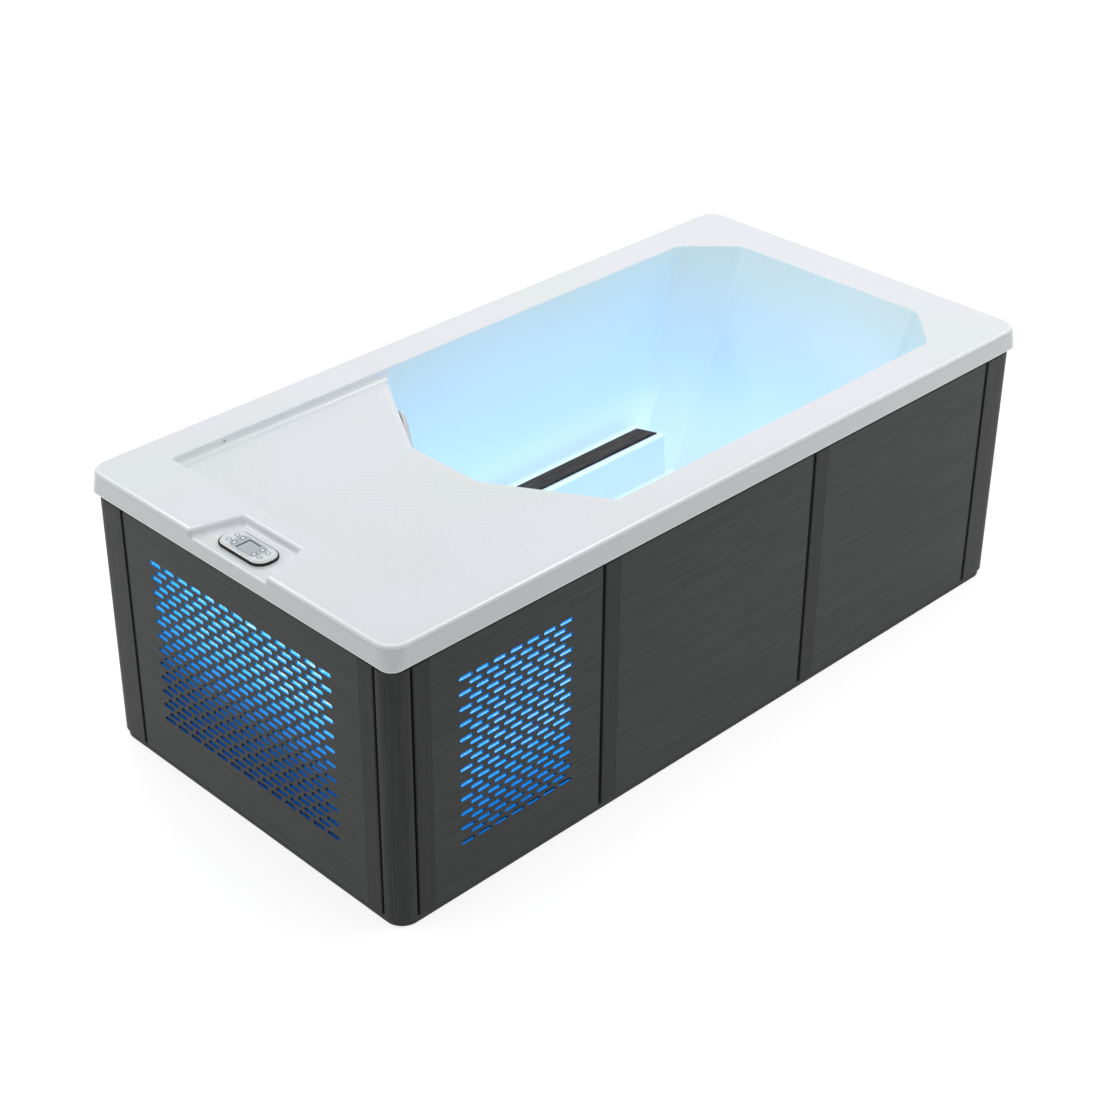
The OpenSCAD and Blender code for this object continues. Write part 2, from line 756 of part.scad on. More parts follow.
module ledge_strips() {
    color("#4a4a4a") for (side = [0, 1]) mirror([0, side, 0]) translate([0, 0, ledge_top])
        linear_extrude(strip_thickness) polygon([
            [ledge_start + strip_margin, ledge_front + strip_margin],
            [ledge_end - strip_margin - margin_skew, ledge_front + strip_margin],
            [ledge_end - strip_margin - margin_skew - strip_skew, ledge_front + strip_margin + strip_width],
            [ledge_start + strip_margin, ledge_front + strip_margin + strip_width]]);
}
strip_skew = ledge_skew * strip_width / ledge_width;
margin_skew = ledge_skew * strip_margin / ledge_width;

// Keypad

keypad_x = -rim_x + keypad_setback;
board_thickness = 1.6;
keypad_skin = 1.5;
overlay_thickness = 0.5;
bezel_bottom = notch_floor + keypad_base_height;
bezel_top = bezel_bottom + keypad_bezel_height;
cap_height_over = 0.9;
flange_thickness = 1.3;
flange_lip = 1;
stem_radius = 2;
bezel_roof = keypad_skin + loose_gap;

module keypad_place(z) translate([keypad_x, keypad_offset, z]) rotate([0, 0, 90]) children();
module keypad_outline(inset)
    rounded(keypad_length - 2 * inset, keypad_width - 2 * inset, keypad_end_radius - inset);
keypad_end_flat = 5;
keypad_end_radius = keypad_width / 2 - keypad_end_flat;

module keypad_base() {
    color("#1a1a1a") keypad_place(notch_floor) difference() {
        linear_extrude(keypad_base_height) keypad_outline(0);
        translate([0, 0, keypad_skin]) linear_extrude(keypad_base_height) keypad_outline(2 * keypad_skin);
    }
}
module keypad_board() {
    color("darkgreen") keypad_place(notch_floor + keypad_skin)
        linear_extrude(board_thickness) keypad_outline(2 * keypad_skin + loose_gap);
}

// Middles of the buttons in the keypad's own directions: along its length, across its width
button_reaches = [-button_outer_reach, -button_inner_reach, button_inner_reach, button_outer_reach];
button_places = [for (reach = button_reaches, s = [-1, 1]) [reach, s * button_row_spacing / 2]];

module keypad_bezel() {
    color("#e4e6e8") keypad_place(bezel_bottom) difference() {
        linear_extrude(keypad_bezel_height) keypad_outline(keypad_bezel_inset);
        translate([0, 0, -cut]) linear_extrude(keypad_bezel_height - bezel_roof + cut)
            keypad_outline(keypad_bezel_inset + 2 * keypad_skin);
        for (p = button_places) translate([p[0], p[1], 0])
            cylinder(d = button_diameter + 2 * loose_gap, h = keypad_bezel_height + cut);
    }
}
module keypad_overlay() {
    color("#c6cacc") keypad_place(bezel_top) linear_extrude(overlay_thickness) difference() {
        keypad_outline(keypad_bezel_inset + overlay_inset);
        square([display_length + 2 * loose_gap, display_width + 2 * loose_gap], center = true);
        for (p = button_places) translate(p) circle(d = button_diameter + 2 * loose_gap);
    }
}
overlay_inset = 5;
module display_window() {
    color("#c8cccf") keypad_place(bezel_top) translate([0, 0, overlay_thickness])
        cube([display_length, display_width, 2 * overlay_thickness], center = true);
}
module button(i) {
    cap_top = bezel_top + overlay_thickness + cap_height_over;
    flange_top = bezel_top - bezel_roof - loose_gap;
    stem_bottom = flange_top - flange_thickness - stem_length;
    color("#d6dadd") keypad_place(0) translate(concat(button_places[i], [0])) {
        translate([0, 0, flange_top]) cylinder(d = button_diameter, h = cap_top - flange_top);
        translate([0, 0, flange_top - flange_thickness])
            cylinder(d = button_diameter + 2 * flange_lip, h = flange_thickness);
        translate([0, 0, stem_bottom]) cylinder(r = stem_radius, h = flange_top - stem_bottom);
    }
}
stem_length = bezel_top - bezel_roof - loose_gap - flange_thickness
    - (notch_floor + keypad_skin + board_thickness + button_travel + loose_gap);

// Chiller

pan_thickness = 3;
pan_front = -frame_inner_y + glow_thickness + loose_gap;
pan_pump_gap = 15;
pan_back = -pump_motor_diameter / 2 - pan_pump_gap;
pan_overlap = 20;
pan_start = -frame_inner_x + glow_thickness + loose_gap - pan_overlap;
pan_end = machine_rail + rail_size / 2;
pan_top = base_rail_top + pan_thickness;
module chiller_base() {
    color("gainsboro") difference() {
        block([pan_start, pan_front, base_rail_top], [pan_end, pan_back, pan_top + pan_lip]);
        block([pan_start + pan_thickness, pan_front + pan_thickness, pan_top],
            [pan_end - pan_thickness, pan_back - pan_thickness, pan_top + pan_lip + cut]);
    }
}
pan_lip = 12;

coil_setback = 5;
coil_x = -frame_inner_x + glow_thickness + coil_setback;
coil_front = pan_front + pan_thickness + loose_gap;
coil_middle = coil_front + coil_size / 2;
coil_middle_z = pan_top + coil_size / 2;
coil_plate = 2;
coil_fins = 16;
coil_tubes = 6;
coil_tube_radius = 5;
module condenser_coil() {
    color("silver") {
        for (i = [0:coil_fins + 1])
            translate([coil_x, coil_front + i * (coil_size - coil_plate) / (coil_fins + 1), pan_top])
                cube([coil_depth, coil_plate, coil_size]);
        for (i = [0:coil_tubes - 1])
            translate([coil_x + coil_depth / 2, coil_front,
                pan_top + (i + half_share) * coil_size / coil_tubes])
                rotate([-90, 0, 0]) cylinder(r = coil_tube_radius, h = coil_size);
    }
}

shroud_x = coil_x + coil_depth;
shroud_depth = 42;
shroud_wall = 2;
motor_bar = 20;
motor_bar_reach = 30;
fan_shaft_radius = 4;
fan_motor_radius = 38;
fan_motor_length = 50;
motor_bar_thickness = 4;
fan_motor_x = shroud_x + shroud_depth + motor_bar_thickness;

// Places its children on the fan's axis with +Z along +X
module fan_place(x) translate([x, coil_middle, coil_middle_z]) rotate([0, 90, 0]) children();

module fan_shroud() {
    color("#303234") {
        translate([shroud_x, coil_front, pan_top]) difference() {
            cube([shroud_depth, coil_size, coil_size]);
            translate([shroud_wall, shroud_wall, shroud_wall])
                cube([shroud_depth, coil_size - 2 * shroud_wall, coil_size - 2 * shroud_wall]);
            translate([-cut, coil_size / 2, coil_size / 2])
                rotate([0, 90, 0]) cylinder(d = fan_opening, h = shroud_wall + 2 * cut);
        }
        for (y = [coil_middle - motor_bar_reach, coil_middle + motor_bar_reach])
            translate([shroud_x + shroud_depth, y - motor_bar / 2, pan_top])
                cube([motor_bar_thickness, motor_bar, coil_size]);
    }
}
module fan_motor() {
    color("#3a3c3e") fan_place(fan_motor_x) difference() {
        cylinder(r = fan_motor_radius, h = fan_motor_length);
        translate([0, 0, -cut]) cylinder(r = fan_shaft_radius + running_gap, h = fan_shaft_seat + cut);
    }
}
fan_shaft_seat = 30;
fan_blades = 5;
fan_hub_radius = 32;
fan_blade_thickness = 3;
fan_blade_chord = 46;
fan_blade_pitch = 32;
module fan_rotor() {
    hub_length = shroud_depth - shroud_wall - 2 * fan_tip_gap;
    color("#202224") fan_place(shroud_x + shroud_wall + fan_tip_gap) {
        cylinder(r = fan_hub_radius, h = hub_length);
        cylinder(r = fan_shaft_radius,
            h = fan_motor_x + fan_shaft_seat - loose_gap - shroud_x - shroud_wall - fan_tip_gap);
        intersection() {
            cylinder(d = fan_opening - 2 * fan_tip_gap, h = hub_length);
            for (i = [0:fan_blades - 1]) rotate([0, 0, i * 360 / fan_blades])
                translate([0, 0, hub_length / 2]) rotate([fan_blade_pitch, 0, 0])
                    translate([0, -fan_blade_chord / 2, -fan_blade_thickness / 2])
                        cube([fan_opening, fan_blade_chord, fan_blade_thickness]);
        }
    }
}

compressor_gap = 26;
compressor_inset = 16;
compressor_place = [fan_motor_x + fan_motor_length + compressor_gap + compressor_diameter / 2,
    pan_back - pan_lip - compressor_diameter / 2 - compressor_inset];
compressor_foot = 8;
compressor_foot_radius = 12;
can_shoulder = 30;
module compressor() {
    r = compressor_diameter / 2;
    color("#18191b") translate([compressor_place[0], compressor_place[1], pan_top]) {
        translate([0, 0, compressor_foot]) cylinder(r = r, h = compressor_height - can_shoulder);
        translate([0, 0, compressor_foot + compressor_height - can_shoulder])
            cylinder(r1 = r, r2 = r - can_shoulder, h = can_shoulder, $fn = 64);
        for (i = [0:2]) rotate([0, 0, i * 120 + 60])
            translate([r - 2 * compressor_foot_radius, 0, 0])
                cylinder(r = compressor_foot_radius, h = 2 * compressor_foot);
    }
}
compressor_top = pan_top + compressor_foot + compressor_height;

exchanger_headroom = 364;
exchanger_size = [70, 120, deck_underside - exchanger_headroom];
exchanger_gap = 6;
exchanger_inset = 72;
exchanger_place = [compressor_place[0] + compressor_diameter / 2 + exchanger_gap,
    pan_front + pan_thickness + exchanger_inset];
exchanger_middle = [exchanger_place[0] + exchanger_size[0] / 2, exchanger_place[1] + exchanger_size[1] / 2];
exchanger_top = pan_top + exchanger_size[2];
exchanger_plates = 9;
plate_groove = 4;
module heat_exchanger() {
    color("darkkhaki") difference() {
        translate([exchanger_place[0], exchanger_place[1], pan_top]) cube(exchanger_size);
        for (i = [1:exchanger_plates - 1])
            translate([exchanger_place[0] + i * exchanger_size[0] / exchanger_plates - plate_groove / 2,
                exchanger_place[1] - cut, pan_top + plate_groove])
                cube([plate_groove, plate_groove + cut, exchanger_size[2] - 2 * plate_groove]);
    }
}

line_radius = 5;
line_wall = 1;
line_bend = 20;
line_rise = 80;
line_low = 60;
line_gap = 8;
line_clear = 30;
module refrigerant_lines() {
    coil_top = pan_top + coil_size;
    coil_line_x = coil_x + coil_depth / 2;
    coil_back = coil_front + coil_size;
    compressor_side = compressor_place[1] - compressor_diameter / 2;
    low = pan_top + line_low;
    compressor_back = compressor_place[1] + compressor_diameter / 2;
    bypass = max(coil_back + line_bend + line_wall, compressor_back + line_clear);
    color("chocolate") {
        bent_pipe([[compressor_place[0], compressor_place[1], compressor_top],
            [compressor_place[0], compressor_place[1], coil_top + line_rise],
            [coil_line_x, compressor_place[1], coil_top + line_rise],
            [coil_line_x, compressor_place[1], coil_top]], line_radius, line_wall, line_bend);
        bent_pipe([[coil_line_x, coil_back, low], [coil_line_x, bypass, low],
            [exchanger_middle[0], bypass, low],
            [exchanger_middle[0], exchanger_place[1] + exchanger_size[1], low]],
            line_radius, line_wall, line_bend);
        bent_pipe([[exchanger_place[0], exchanger_middle[1] - line_gap, 2 * low],
            [compressor_place[0], exchanger_middle[1] - line_gap, 2 * low],
            [compressor_place[0], compressor_side, 2 * low]], line_radius, line_wall, line_bend);
    }
}

control_size = [160, 150, 220];
ozone_size = [80, 120, 150];
control_inset = 34;
control_place = [coil_x, frame_inner_y - control_inset - control_size[1]];
ozone_place = [coil_x, (coil_front + coil_size + control_place[1] - ozone_size[1]) / 2];
module control_box() {
    color("#c9cccd") housing([control_place[0], control_place[1], tray_floor], control_size, pan_thickness);
}
module ozone_generator() {
    color("#2b2e33") {
        housing([ozone_place[0], ozone_place[1], tray_floor], ozone_size, pan_thickness);
        translate([ozone_place[0] + ozone_size[0] / 2, ozone_place[1] + ozone_size[1] / 2,
            tray_floor + ozone_size[2]]) cylinder(r = line_radius, h = line_bend);
    }
}

// Circulation pump on the suction line, with its axis along the tub

port_back = canister_length - canister_radius / 2;
filter_middle = wall_middle(3, canister_height);
filter_axis = [cos(basin_walls[3][0]), sin(basin_walls[3][0])];
feed_place = filter_middle + filter_axis * (port_back * cos(wall_lean(basin_walls[3])));
pump_x = feed_place[0];
pump_z = suction_height;
volute_length = 50;
volute_radius = volute_diameter / 2;
volute_wall = 5;
pump_shaft_radius = 6;
pump_inlet_length = 16;
pump_foot_width = 80;
pump_foot_thickness = 4;

module pump_place(x) translate([x, 0, pump_z]) rotate([0, 90, 0]) children();
module circulation_pump() {
    half = volute_length / 2;
    color("#202326") difference() {
        union() {
            pump_place(pump_x - half) cylinder(r = volute_radius, h = volute_length);
            pump_place(pump_x + half) cylinder(r = pipe_diameter / 2 + pipe_wall, h = pump_inlet_length);
            pump_place(pump_x - half - pump_motor_length)
                cylinder(d = pump_motor_diameter, h = pump_motor_length);
            translate([pump_x, 0, pump_z])
                cylinder(r = pipe_diameter / 2 + pipe_wall, h = volute_radius + pump_inlet_length);
            for (y = [-pump_foot_width / 2, pump_foot_width / 2])
                block([pump_x - half - pump_motor_length, y - pump_foot_thickness, base_rail_top],
                    [pump_x - half, y + pump_foot_thickness, pump_z]);
        }
        pump_place(pump_x - half + volute_wall)
            cylinder(r = volute_radius - volute_wall, h = volute_length - 2 * volute_wall);
        pump_place(pump_x) cylinder(r = pipe_diameter / 2 - pipe_wall, h = volute_length);
        pump_place(pump_x - half - pump_shaft_seat)
            cylinder(r = pump_shaft_radius + running_gap, h = pump_shaft_seat + 2 * volute_wall);
        translate([pump_x, 0, pump_z]) cylinder(r = pipe_diameter / 2 - pipe_wall, h = 2 * volute_radius);
    }
}
pump_shaft_seat = 90;
impeller_disc = 4;
impeller_gap = 1.2;
impeller_vanes = 6;
module pump_rotor() {
    half = volute_length / 2;
    r = volute_radius - 2 * volute_wall;
    start = pump_x - half + volute_wall + impeller_gap;
    color("#b0a890") {
        pump_place(pump_x - half - pump_shaft_seat + loose_gap)
            cylinder(r = pump_shaft_radius, h = pump_shaft_seat + volute_wall + impeller_disc);
        pump_place(start) cylinder(r = r, h = impeller_disc);
        pump_place(start) for (i = [0:impeller_vanes - 1]) rotate([0, 0, i * 360 / impeller_vanes])
            translate([pump_shaft_radius / 2, -impeller_disc / 2, 0])
                cube([r - pump_shaft_radius, impeller_disc, volute_length / 2 - volute_wall]);
    }
}

// Water pipes, from the pump to the filter, to the exchanger and to the return jet

pipe_bend = 34;
feed_drop = 52;
cool_drop = 18;
cool_port_gap = 30;
cool_port_back = canister_radius + foam_thickness + cool_port_gap;
cool_place = filter_middle + filter_axis * cool_port_back;
canister_port = 20;
return_drop = 110;
return_z = jet_height - jet_tube_radius - return_drop;
jet_middle = wall_middle(5, jet_height);
jet_port_gap = 30;
jet_port_back = shell_wall + foam_thickness + jet_port_gap;
jet_port_place = jet_middle + [cos(basin_walls[5][0]), sin(basin_walls[5][0])] * jet_port_back;

function port_z(back) = canister_height - back * tan(wall_lean(basin_walls[3]))
    - canister_radius - canister_port;
feed_run_z = port_z(port_back) - feed_drop;
cool_run_z = feed_run_z - pipe_diameter - cool_drop;
module water_pipes() {
    r = pipe_diameter / 2;
    color("#e8e8e4") {
        bent_pipe([[pump_x, 0, pump_z + volute_radius + pump_inlet_length],
            [pump_x, 0, feed_run_z], [pump_x, feed_place[1], feed_run_z],
            [pump_x, feed_place[1], port_z(port_back)]],
            r, pipe_wall, pipe_bend);
        bent_pipe([[cool_place[0], cool_place[1], port_z(cool_port_back)],
            [cool_place[0], cool_place[1], cool_run_z],
            [exchanger_middle[0], cool_place[1], cool_run_z],
            [exchanger_middle[0], exchanger_middle[1], cool_run_z],
            [exchanger_middle[0], exchanger_middle[1], exchanger_top]], r, pipe_wall, pipe_bend);
        bent_pipe([[exchanger_place[0] + exchanger_size[0], jet_port_place[1], return_z],
            [jet_port_place[0], jet_port_place[1], return_z],
            [jet_port_place[0], jet_port_place[1], jet_height - jet_tube_radius - canister_port]],
            r, pipe_wall, pipe_bend);
    }
}

// Filter behind the corner wall, with its cap in the basin

canister_wall = 4;
flange_height = 3;
flange_reach = 12;
cap_skin = 4;
cap_plug = 15;
module filter_canister() {
    ports = [[feed_place, port_z(port_back)], [cool_place, port_z(cool_port_back)]];
    color("#dfe1e0") difference() {
        union() {
            on_wall(3, canister_height) {
                translate([0, 0, -canister_length])
                    cylinder(r = canister_radius, h = canister_length + flange_height);
                cylinder(r = canister_radius + flange_reach, h = flange_height);
            }
            for (port = ports) translate([port[0][0], port[0][1], port[1]])
                cylinder(r = pipe_diameter / 2, h = canister_port + canister_wall);
        }
        on_wall(3, canister_height) translate([0, 0, canister_wall - canister_length])
            cylinder(r = canister_radius - canister_wall, h = canister_length + canister_wall);
        for (port = ports) translate([port[0][0], port[0][1], port[1] - cut])
            cylinder(r = pipe_diameter / 2 - pipe_wall, h = canister_radius);
    }
}
cartridge_gap = 6;
cartridge_pleats = 24;
pleat_thickness = 2;
module filter_cartridge() {
    r = canister_radius - canister_wall - cartridge_gap;
    length = canister_length - 2 * cap_plug - canister_wall;
    start = -canister_length + canister_wall + loose_gap;
    color("aliceblue") on_wall(3, canister_height) translate([0, 0, start]) {
        cylinder(r = r, h = cartridge_gap);
        cylinder(r = r - cartridge_gap, h = length);
        translate([0, 0, length - cartridge_gap]) cylinder(r = r, h = cartridge_gap);
        for (i = [0:cartridge_pleats - 1]) rotate([0, 0, i * 360 / cartridge_pleats])
            translate([0, -pleat_thickness / 2, 0]) cube([r, pleat_thickness, length]);
    }
}
module filter_cap() {
    r = filter_cap_diameter / 2;
    plug = canister_radius - canister_wall - running_gap;
    low = flange_height + loose_gap;
    color("#b9c0c4") on_wall(3, canister_height) {
        tube(r, r - cap_skin, low, filter_cap_height);
        translate([0, 0, filter_cap_height - cap_skin]) cylinder(r = r, h = cap_skin);
        tube(plug, plug - cap_skin, -cap_plug, filter_cap_height - cap_skin / 2);
        translate([-r, 0, filter_cap_height - cap_tab]) cylinder(r = cap_skin, h = cap_tab);
    }
}
cap_tab = 12;

// Fittings on the wall below the deck

module suction_fitting() {
    r = pipe_diameter / 2;
    tail = pump_x + volute_length / 2 + pump_inlet_length;
    face = wall_middle(4, suction_height)[0];
    color("#e4e6e6") difference() {
        union() {
            on_wall(4, suction_height)
                cylinder(r1 = 2 * r + flange_reach, r2 = 2 * r, h = flange_reach, $fn = 64);
            translate([tail, 0, suction_height]) rotate([0, 90, 0])
                cylinder(r = r, h = face + flange_height - tail);
        }
        translate([tail - cut, 0, suction_height]) rotate([0, 90, 0])
            cylinder(r = r - pipe_wall, h = face + flange_height + 2 * cut - tail);
        on_wall(4, suction_height) translate([0, 0, flange_height]) {
            cylinder(r = r, h = flange_reach);
            for (i = [0:7]) rotate([0, 0, i * 45]) translate([r + pipe_wall + weep_radius, 0, 0])
                cylinder(r = weep_radius, h = flange_reach);
        }
    }
}
light_dome = 6;
module basin_light() {
    color("#dff2ff") on_wall(4, light_height) {
        cylinder(r1 = light_radius + flange_reach, r2 = light_radius, h = light_dome, $fn = 64);
        translate([0, 0, -2 * foam_thickness]) cylinder(r = light_radius, h = 2 * foam_thickness);
    }
}

ball_radius = jet_ball_diameter / 2;
jet_mouth_share = 0.6;
jet_front = ball_radius * jet_mouth_share;
jet_nozzle_radius = 7;
module jet_body() {
    tail = jet_port_back + pipe_diameter / 2 + pipe_wall;
    color("#dfe2e3") {
        on_wall(5, jet_height) difference() {
            union() {
                translate([0, 0, -tail]) cylinder(r = jet_tube_radius, h = tail + flange_height);
                cylinder(r = jet_tube_radius + flange_reach, h = flange_height);
                cylinder(r = ball_radius + jet_wall, h = jet_front + jet_ball_z);
            }
            translate([0, 0, jet_ball_z]) sphere(r = ball_radius + running_gap, $fn = 96);
            translate([0, 0, jet_ball_z]) cylinder(r = jet_opening, h = 2 * ball_radius);
            translate([0, 0, -tail + pipe_wall]) cylinder(r = jet_opening, h = tail);
        }
        translate([jet_port_place[0], jet_port_place[1], jet_height - jet_tube_radius - canister_port])
            difference() {
                cylinder(r = pipe_diameter / 2, h = canister_port + jet_wall);
                translate([0, 0, -cut])
                    cylinder(r = pipe_diameter / 2 - pipe_wall, h = canister_port + jet_wall);
            }
    }
}
jet_ball_z = 2;
jet_opening_share = 0.85;
jet_opening = ball_radius * jet_opening_share;
module jet_ball() {
    color("#c4cacd") on_wall(5, jet_height) translate([0, 0, jet_ball_z]) difference() {
        sphere(r = ball_radius, $fn = 96);
        translate([0, 0, -2 * ball_radius]) cylinder(r = jet_nozzle_radius, h = 4 * ball_radius);
    }
}

// Drain, from the basin's floor to the valve in the service niche

drain_clearance = 15;
valve_z = base_rail_top + pipe_diameter / 2 + drain_clearance;
niche_depth = 75;
niche_back = clad_y - niche_depth;
niche_wall = 3;
valve_wall = 4;
valve_radius = valve_ball_diameter / 2 + valve_wall;
valve_bore = 8;
valve_length = 36;
valve_y = niche_back + valve_length / 2 + loose_gap;
stem_hole_radius = 4;
drain_plate = 3;
module drain_body() {
    r = pipe_diameter / 2;
    spigot_start = valve_y + valve_length / 2;
    color("#c9ccce") {
        translate([drain_place[0], drain_place[1], floor_height])
            cylinder(r = drain_tail_radius + flange_reach, h = drain_plate);
        translate([drain_place[0], drain_place[1], foam_bottom])
            cylinder(r = drain_tail_radius, h = floor_height - foam_bottom);
        bent_pipe([[drain_place[0], drain_place[1], valve_z + pipe_bend],
            [drain_place[0], drain_place[1], valve_z],
            [niche_place[0], drain_place[1], valve_z], [niche_place[0], niche_back, valve_z]],
            r - pipe_wall / 2, pipe_wall, pipe_bend - pipe_wall);
        difference() {
            union() {
                translate([niche_place[0], niche_back, valve_z]) rotate([-90, 0, 0])
                    cylinder(r = valve_radius, h = valve_length + loose_gap);
                translate([niche_place[0], spigot_start, valve_z]) rotate([-90, 0, 0])
                    cylinder(d = spigot_diameter, h = clad_y - niche_lift - spigot_start);
                translate([niche_place[0], valve_y, valve_z])
                    cylinder(r = stem_hole_radius + valve_wall, h = valve_radius + valve_wall);
            }
            translate([niche_place[0], valve_y, valve_z])
                sphere(r = valve_ball_diameter / 2 + running_gap, $fn = 96);
            translate([niche_place[0], niche_back - cut, valve_z]) rotate([-90, 0, 0])
                cylinder(r = valve_bore, h = niche_depth + cut);
            translate([niche_place[0], valve_y, valve_z])
                cylinder(r = stem_hole_radius + running_gap, h = 2 * valve_radius);
        }
    }
}
handle_z = valve_z + valve_radius + valve_wall + loose_gap;
handle_length = 46;
handle_width = 14;
handle_thickness = 4;
module drain_ball() {
    color("silver") translate([niche_place[0], valve_y, valve_z]) {
        difference() {
            sphere(d = valve_ball_diameter, $fn = 96);
            translate([-valve_ball_diameter, 0, 0]) rotate([0, 90, 0])
                cylinder(r = valve_bore, h = 2 * valve_ball_diameter);
        }
        translate([0, 0, valve_bore + valve_wall / 2]) cylinder(r = stem_hole_radius,
            h = handle_z + handle_thickness - valve_z - valve_bore - valve_wall / 2);
    }
}
module drain_handle() {
    color("#b3262b") translate([niche_place[0], valve_y, handle_z]) linear_extrude(handle_thickness)
        difference() {
            translate([handle_length / 2 - handle_width / 2, 0]) stadium(handle_length, handle_width);
            circle(stem_hole_radius);
        }
}
module service_niche() {
    x0 = niche_place[0] - niche_width / 2 + loose_gap;
    x1 = niche_place[0] + niche_width / 2 - loose_gap;
    z0 = niche_place[1] + loose_gap;
    z1 = niche_place[1] + niche_height - loose_gap;
    color("#101112") {
        difference() {
            block([x0, niche_back - niche_wall, z0], [x1, clad_y, z1]);
            block([x0 + niche_wall, niche_back, z0 + niche_wall],
                [x1 - niche_wall, clad_y + cut, z1 - niche_wall]);
            translate([niche_place[0], niche_back - niche_wall - cut, valve_z]) rotate([-90, 0, 0])
                cylinder(r = pipe_diameter / 2 + loose_gap, h = niche_wall + 2 * cut);
        }
        difference() {
            union() {
                translate([gland_place[0], clad_y - panel_thickness - gland_inside, gland_place[1]])
                    rotate([-90, 0, 0])
                        cylinder(r = gland_radius, h = panel_thickness + gland_inside + gland_outside);
                translate([gland_place[0], clad_y - field_recess, gland_place[1]]) rotate([-90, 0, 0])
                    cylinder(r = gland_radius + gland_wall, h = gland_outside + field_recess);
            }
            translate([gland_place[0], clad_y - 2 * niche_depth, gland_place[1]]) rotate([-90, 0, 0])
                cylinder(d = gland_bore, h = 3 * niche_depth);
        }
    }
}
gland_inside = 12;
gland_outside = 5;

acrylic_shell();
insulation_foam();
base_tray();
base_frame();
frame_uprights();
top_frame();
rim_packers();
basin_bearers();
corner_posts();
stile_battens();
backing_strips();
front_panel_vented();
front_panel_middle();
front_panel_head();
rear_panel_service();
rear_panel_middle();
rear_panel_head();
end_panel_vented();
end_panel_head();
glow_panel_front();
glow_panel_end();
led_strips();
ledge_strips();
keypad_base();
keypad_bezel();
keypad_overlay();
keypad_board();
display_window();
for (i = [0:len(BUTTONS) - 1]) button(i);
chiller_base();
compressor();
condenser_coil();
fan_shroud();
fan_motor();
fan_rotor();
heat_exchanger();
refrigerant_lines();
control_box();
ozone_generator();
circulation_pump();
pump_rotor();
water_pipes();
filter_canister();
filter_cartridge();
filter_cap();
suction_fitting();
basin_light();
jet_body();
jet_ball();
drain_body();
drain_ball();
drain_handle();
service_niche();
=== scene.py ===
import math
import bmesh
import bpy
import numpy as np
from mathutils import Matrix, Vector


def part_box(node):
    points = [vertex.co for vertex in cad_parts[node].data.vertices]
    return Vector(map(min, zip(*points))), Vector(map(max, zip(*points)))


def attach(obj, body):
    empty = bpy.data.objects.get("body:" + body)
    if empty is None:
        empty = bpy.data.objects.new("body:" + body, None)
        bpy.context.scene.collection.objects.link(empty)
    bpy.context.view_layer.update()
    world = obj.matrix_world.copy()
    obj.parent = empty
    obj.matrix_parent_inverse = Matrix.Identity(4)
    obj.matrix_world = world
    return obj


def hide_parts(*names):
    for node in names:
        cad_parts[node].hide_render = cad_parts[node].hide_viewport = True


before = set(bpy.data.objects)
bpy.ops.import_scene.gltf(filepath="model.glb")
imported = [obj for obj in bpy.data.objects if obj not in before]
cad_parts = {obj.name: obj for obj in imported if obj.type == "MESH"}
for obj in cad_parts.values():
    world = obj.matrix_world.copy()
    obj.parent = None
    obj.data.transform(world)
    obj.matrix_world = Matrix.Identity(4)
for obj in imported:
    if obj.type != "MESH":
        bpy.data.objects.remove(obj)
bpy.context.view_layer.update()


# View of the whole tub from above its keypad corner, with a long lens.
# The lens axis lies left of the picture's middle, so the frame is shifted by a small share.
scene = bpy.context.scene


def linked(name, data):
    """New object in the scene, at the origin."""
    made = bpy.data.objects.new(name, data)
    scene.collection.objects.link(made)
    return made


camera = linked("camera", bpy.data.cameras.new("camera"))
camera.location = (-3.20708, -3.11959, 3.01104)
camera.rotation_euler = (1.022562, 0.008814, -0.757582)
camera.data.lens = 72.6386
camera.data.sensor_width = 36
camera.data.shift_x = 0.054745
scene.camera = camera
scene.view_settings.view_transform = "Standard"


# Studio: a plain pale floor under three soft boxes and two strip boxes, in a softly lit white room.
# The room and the floor show white to the lens, to mirrors and through glass; the lamps stay plain.
def linear(colour):
    """Linear red, green, blue and alpha of an sRGB hex colour: each channel to the power of its curve."""
    share = np.array([int(colour[i:i + 2], 16) / 255 for i in (1, 3, 5)])
    share = np.where(share <= 0.04045, share / 12.92, ((share + 0.055) / 1.055) ** 2.4)
    return (*share.tolist(), 1.0)


def feed(node, inputs):
    """Gives a node's inputs plain values, hex colours, or other nodes' outputs. A node stands for its first."""
    for key, value in inputs.items():
        if isinstance(value, bpy.types.Node):
            value = value.outputs[0]
        if isinstance(value, bpy.types.NodeSocket):
            node.id_data.links.new(value, node.inputs[key])
        else:
            node.inputs[key].default_value = linear(value) if isinstance(value, str) else value


def add(tree, kind, inputs=(), stops=(), **settings):
    """Adds one shader node: its kind, with its operation after a space, its settings, and its inputs in the
    node's own order or by name. A map range takes a value and the ranges that it comes from and goes to. A
    colour ramp has stops: places and colours from its low end to its high end."""
    kind, *operation = kind.split()
    node = tree.nodes.new("ShaderNode" + kind)
    if operation:
        node.operation = operation[0]
    for key, value in settings.items():
        setattr(node, key, value)
    feed(node, inputs if isinstance(inputs, dict) else dict(enumerate(inputs)))
    for i, (share, colour) in enumerate(stops):
        ramp = node.color_ramp.elements
        stop = ramp[0] if i == 0 else ramp[-1] if i == len(stops) - 1 else ramp.new(share)
        stop.position, stop.color = share, linear(colour)
    return node


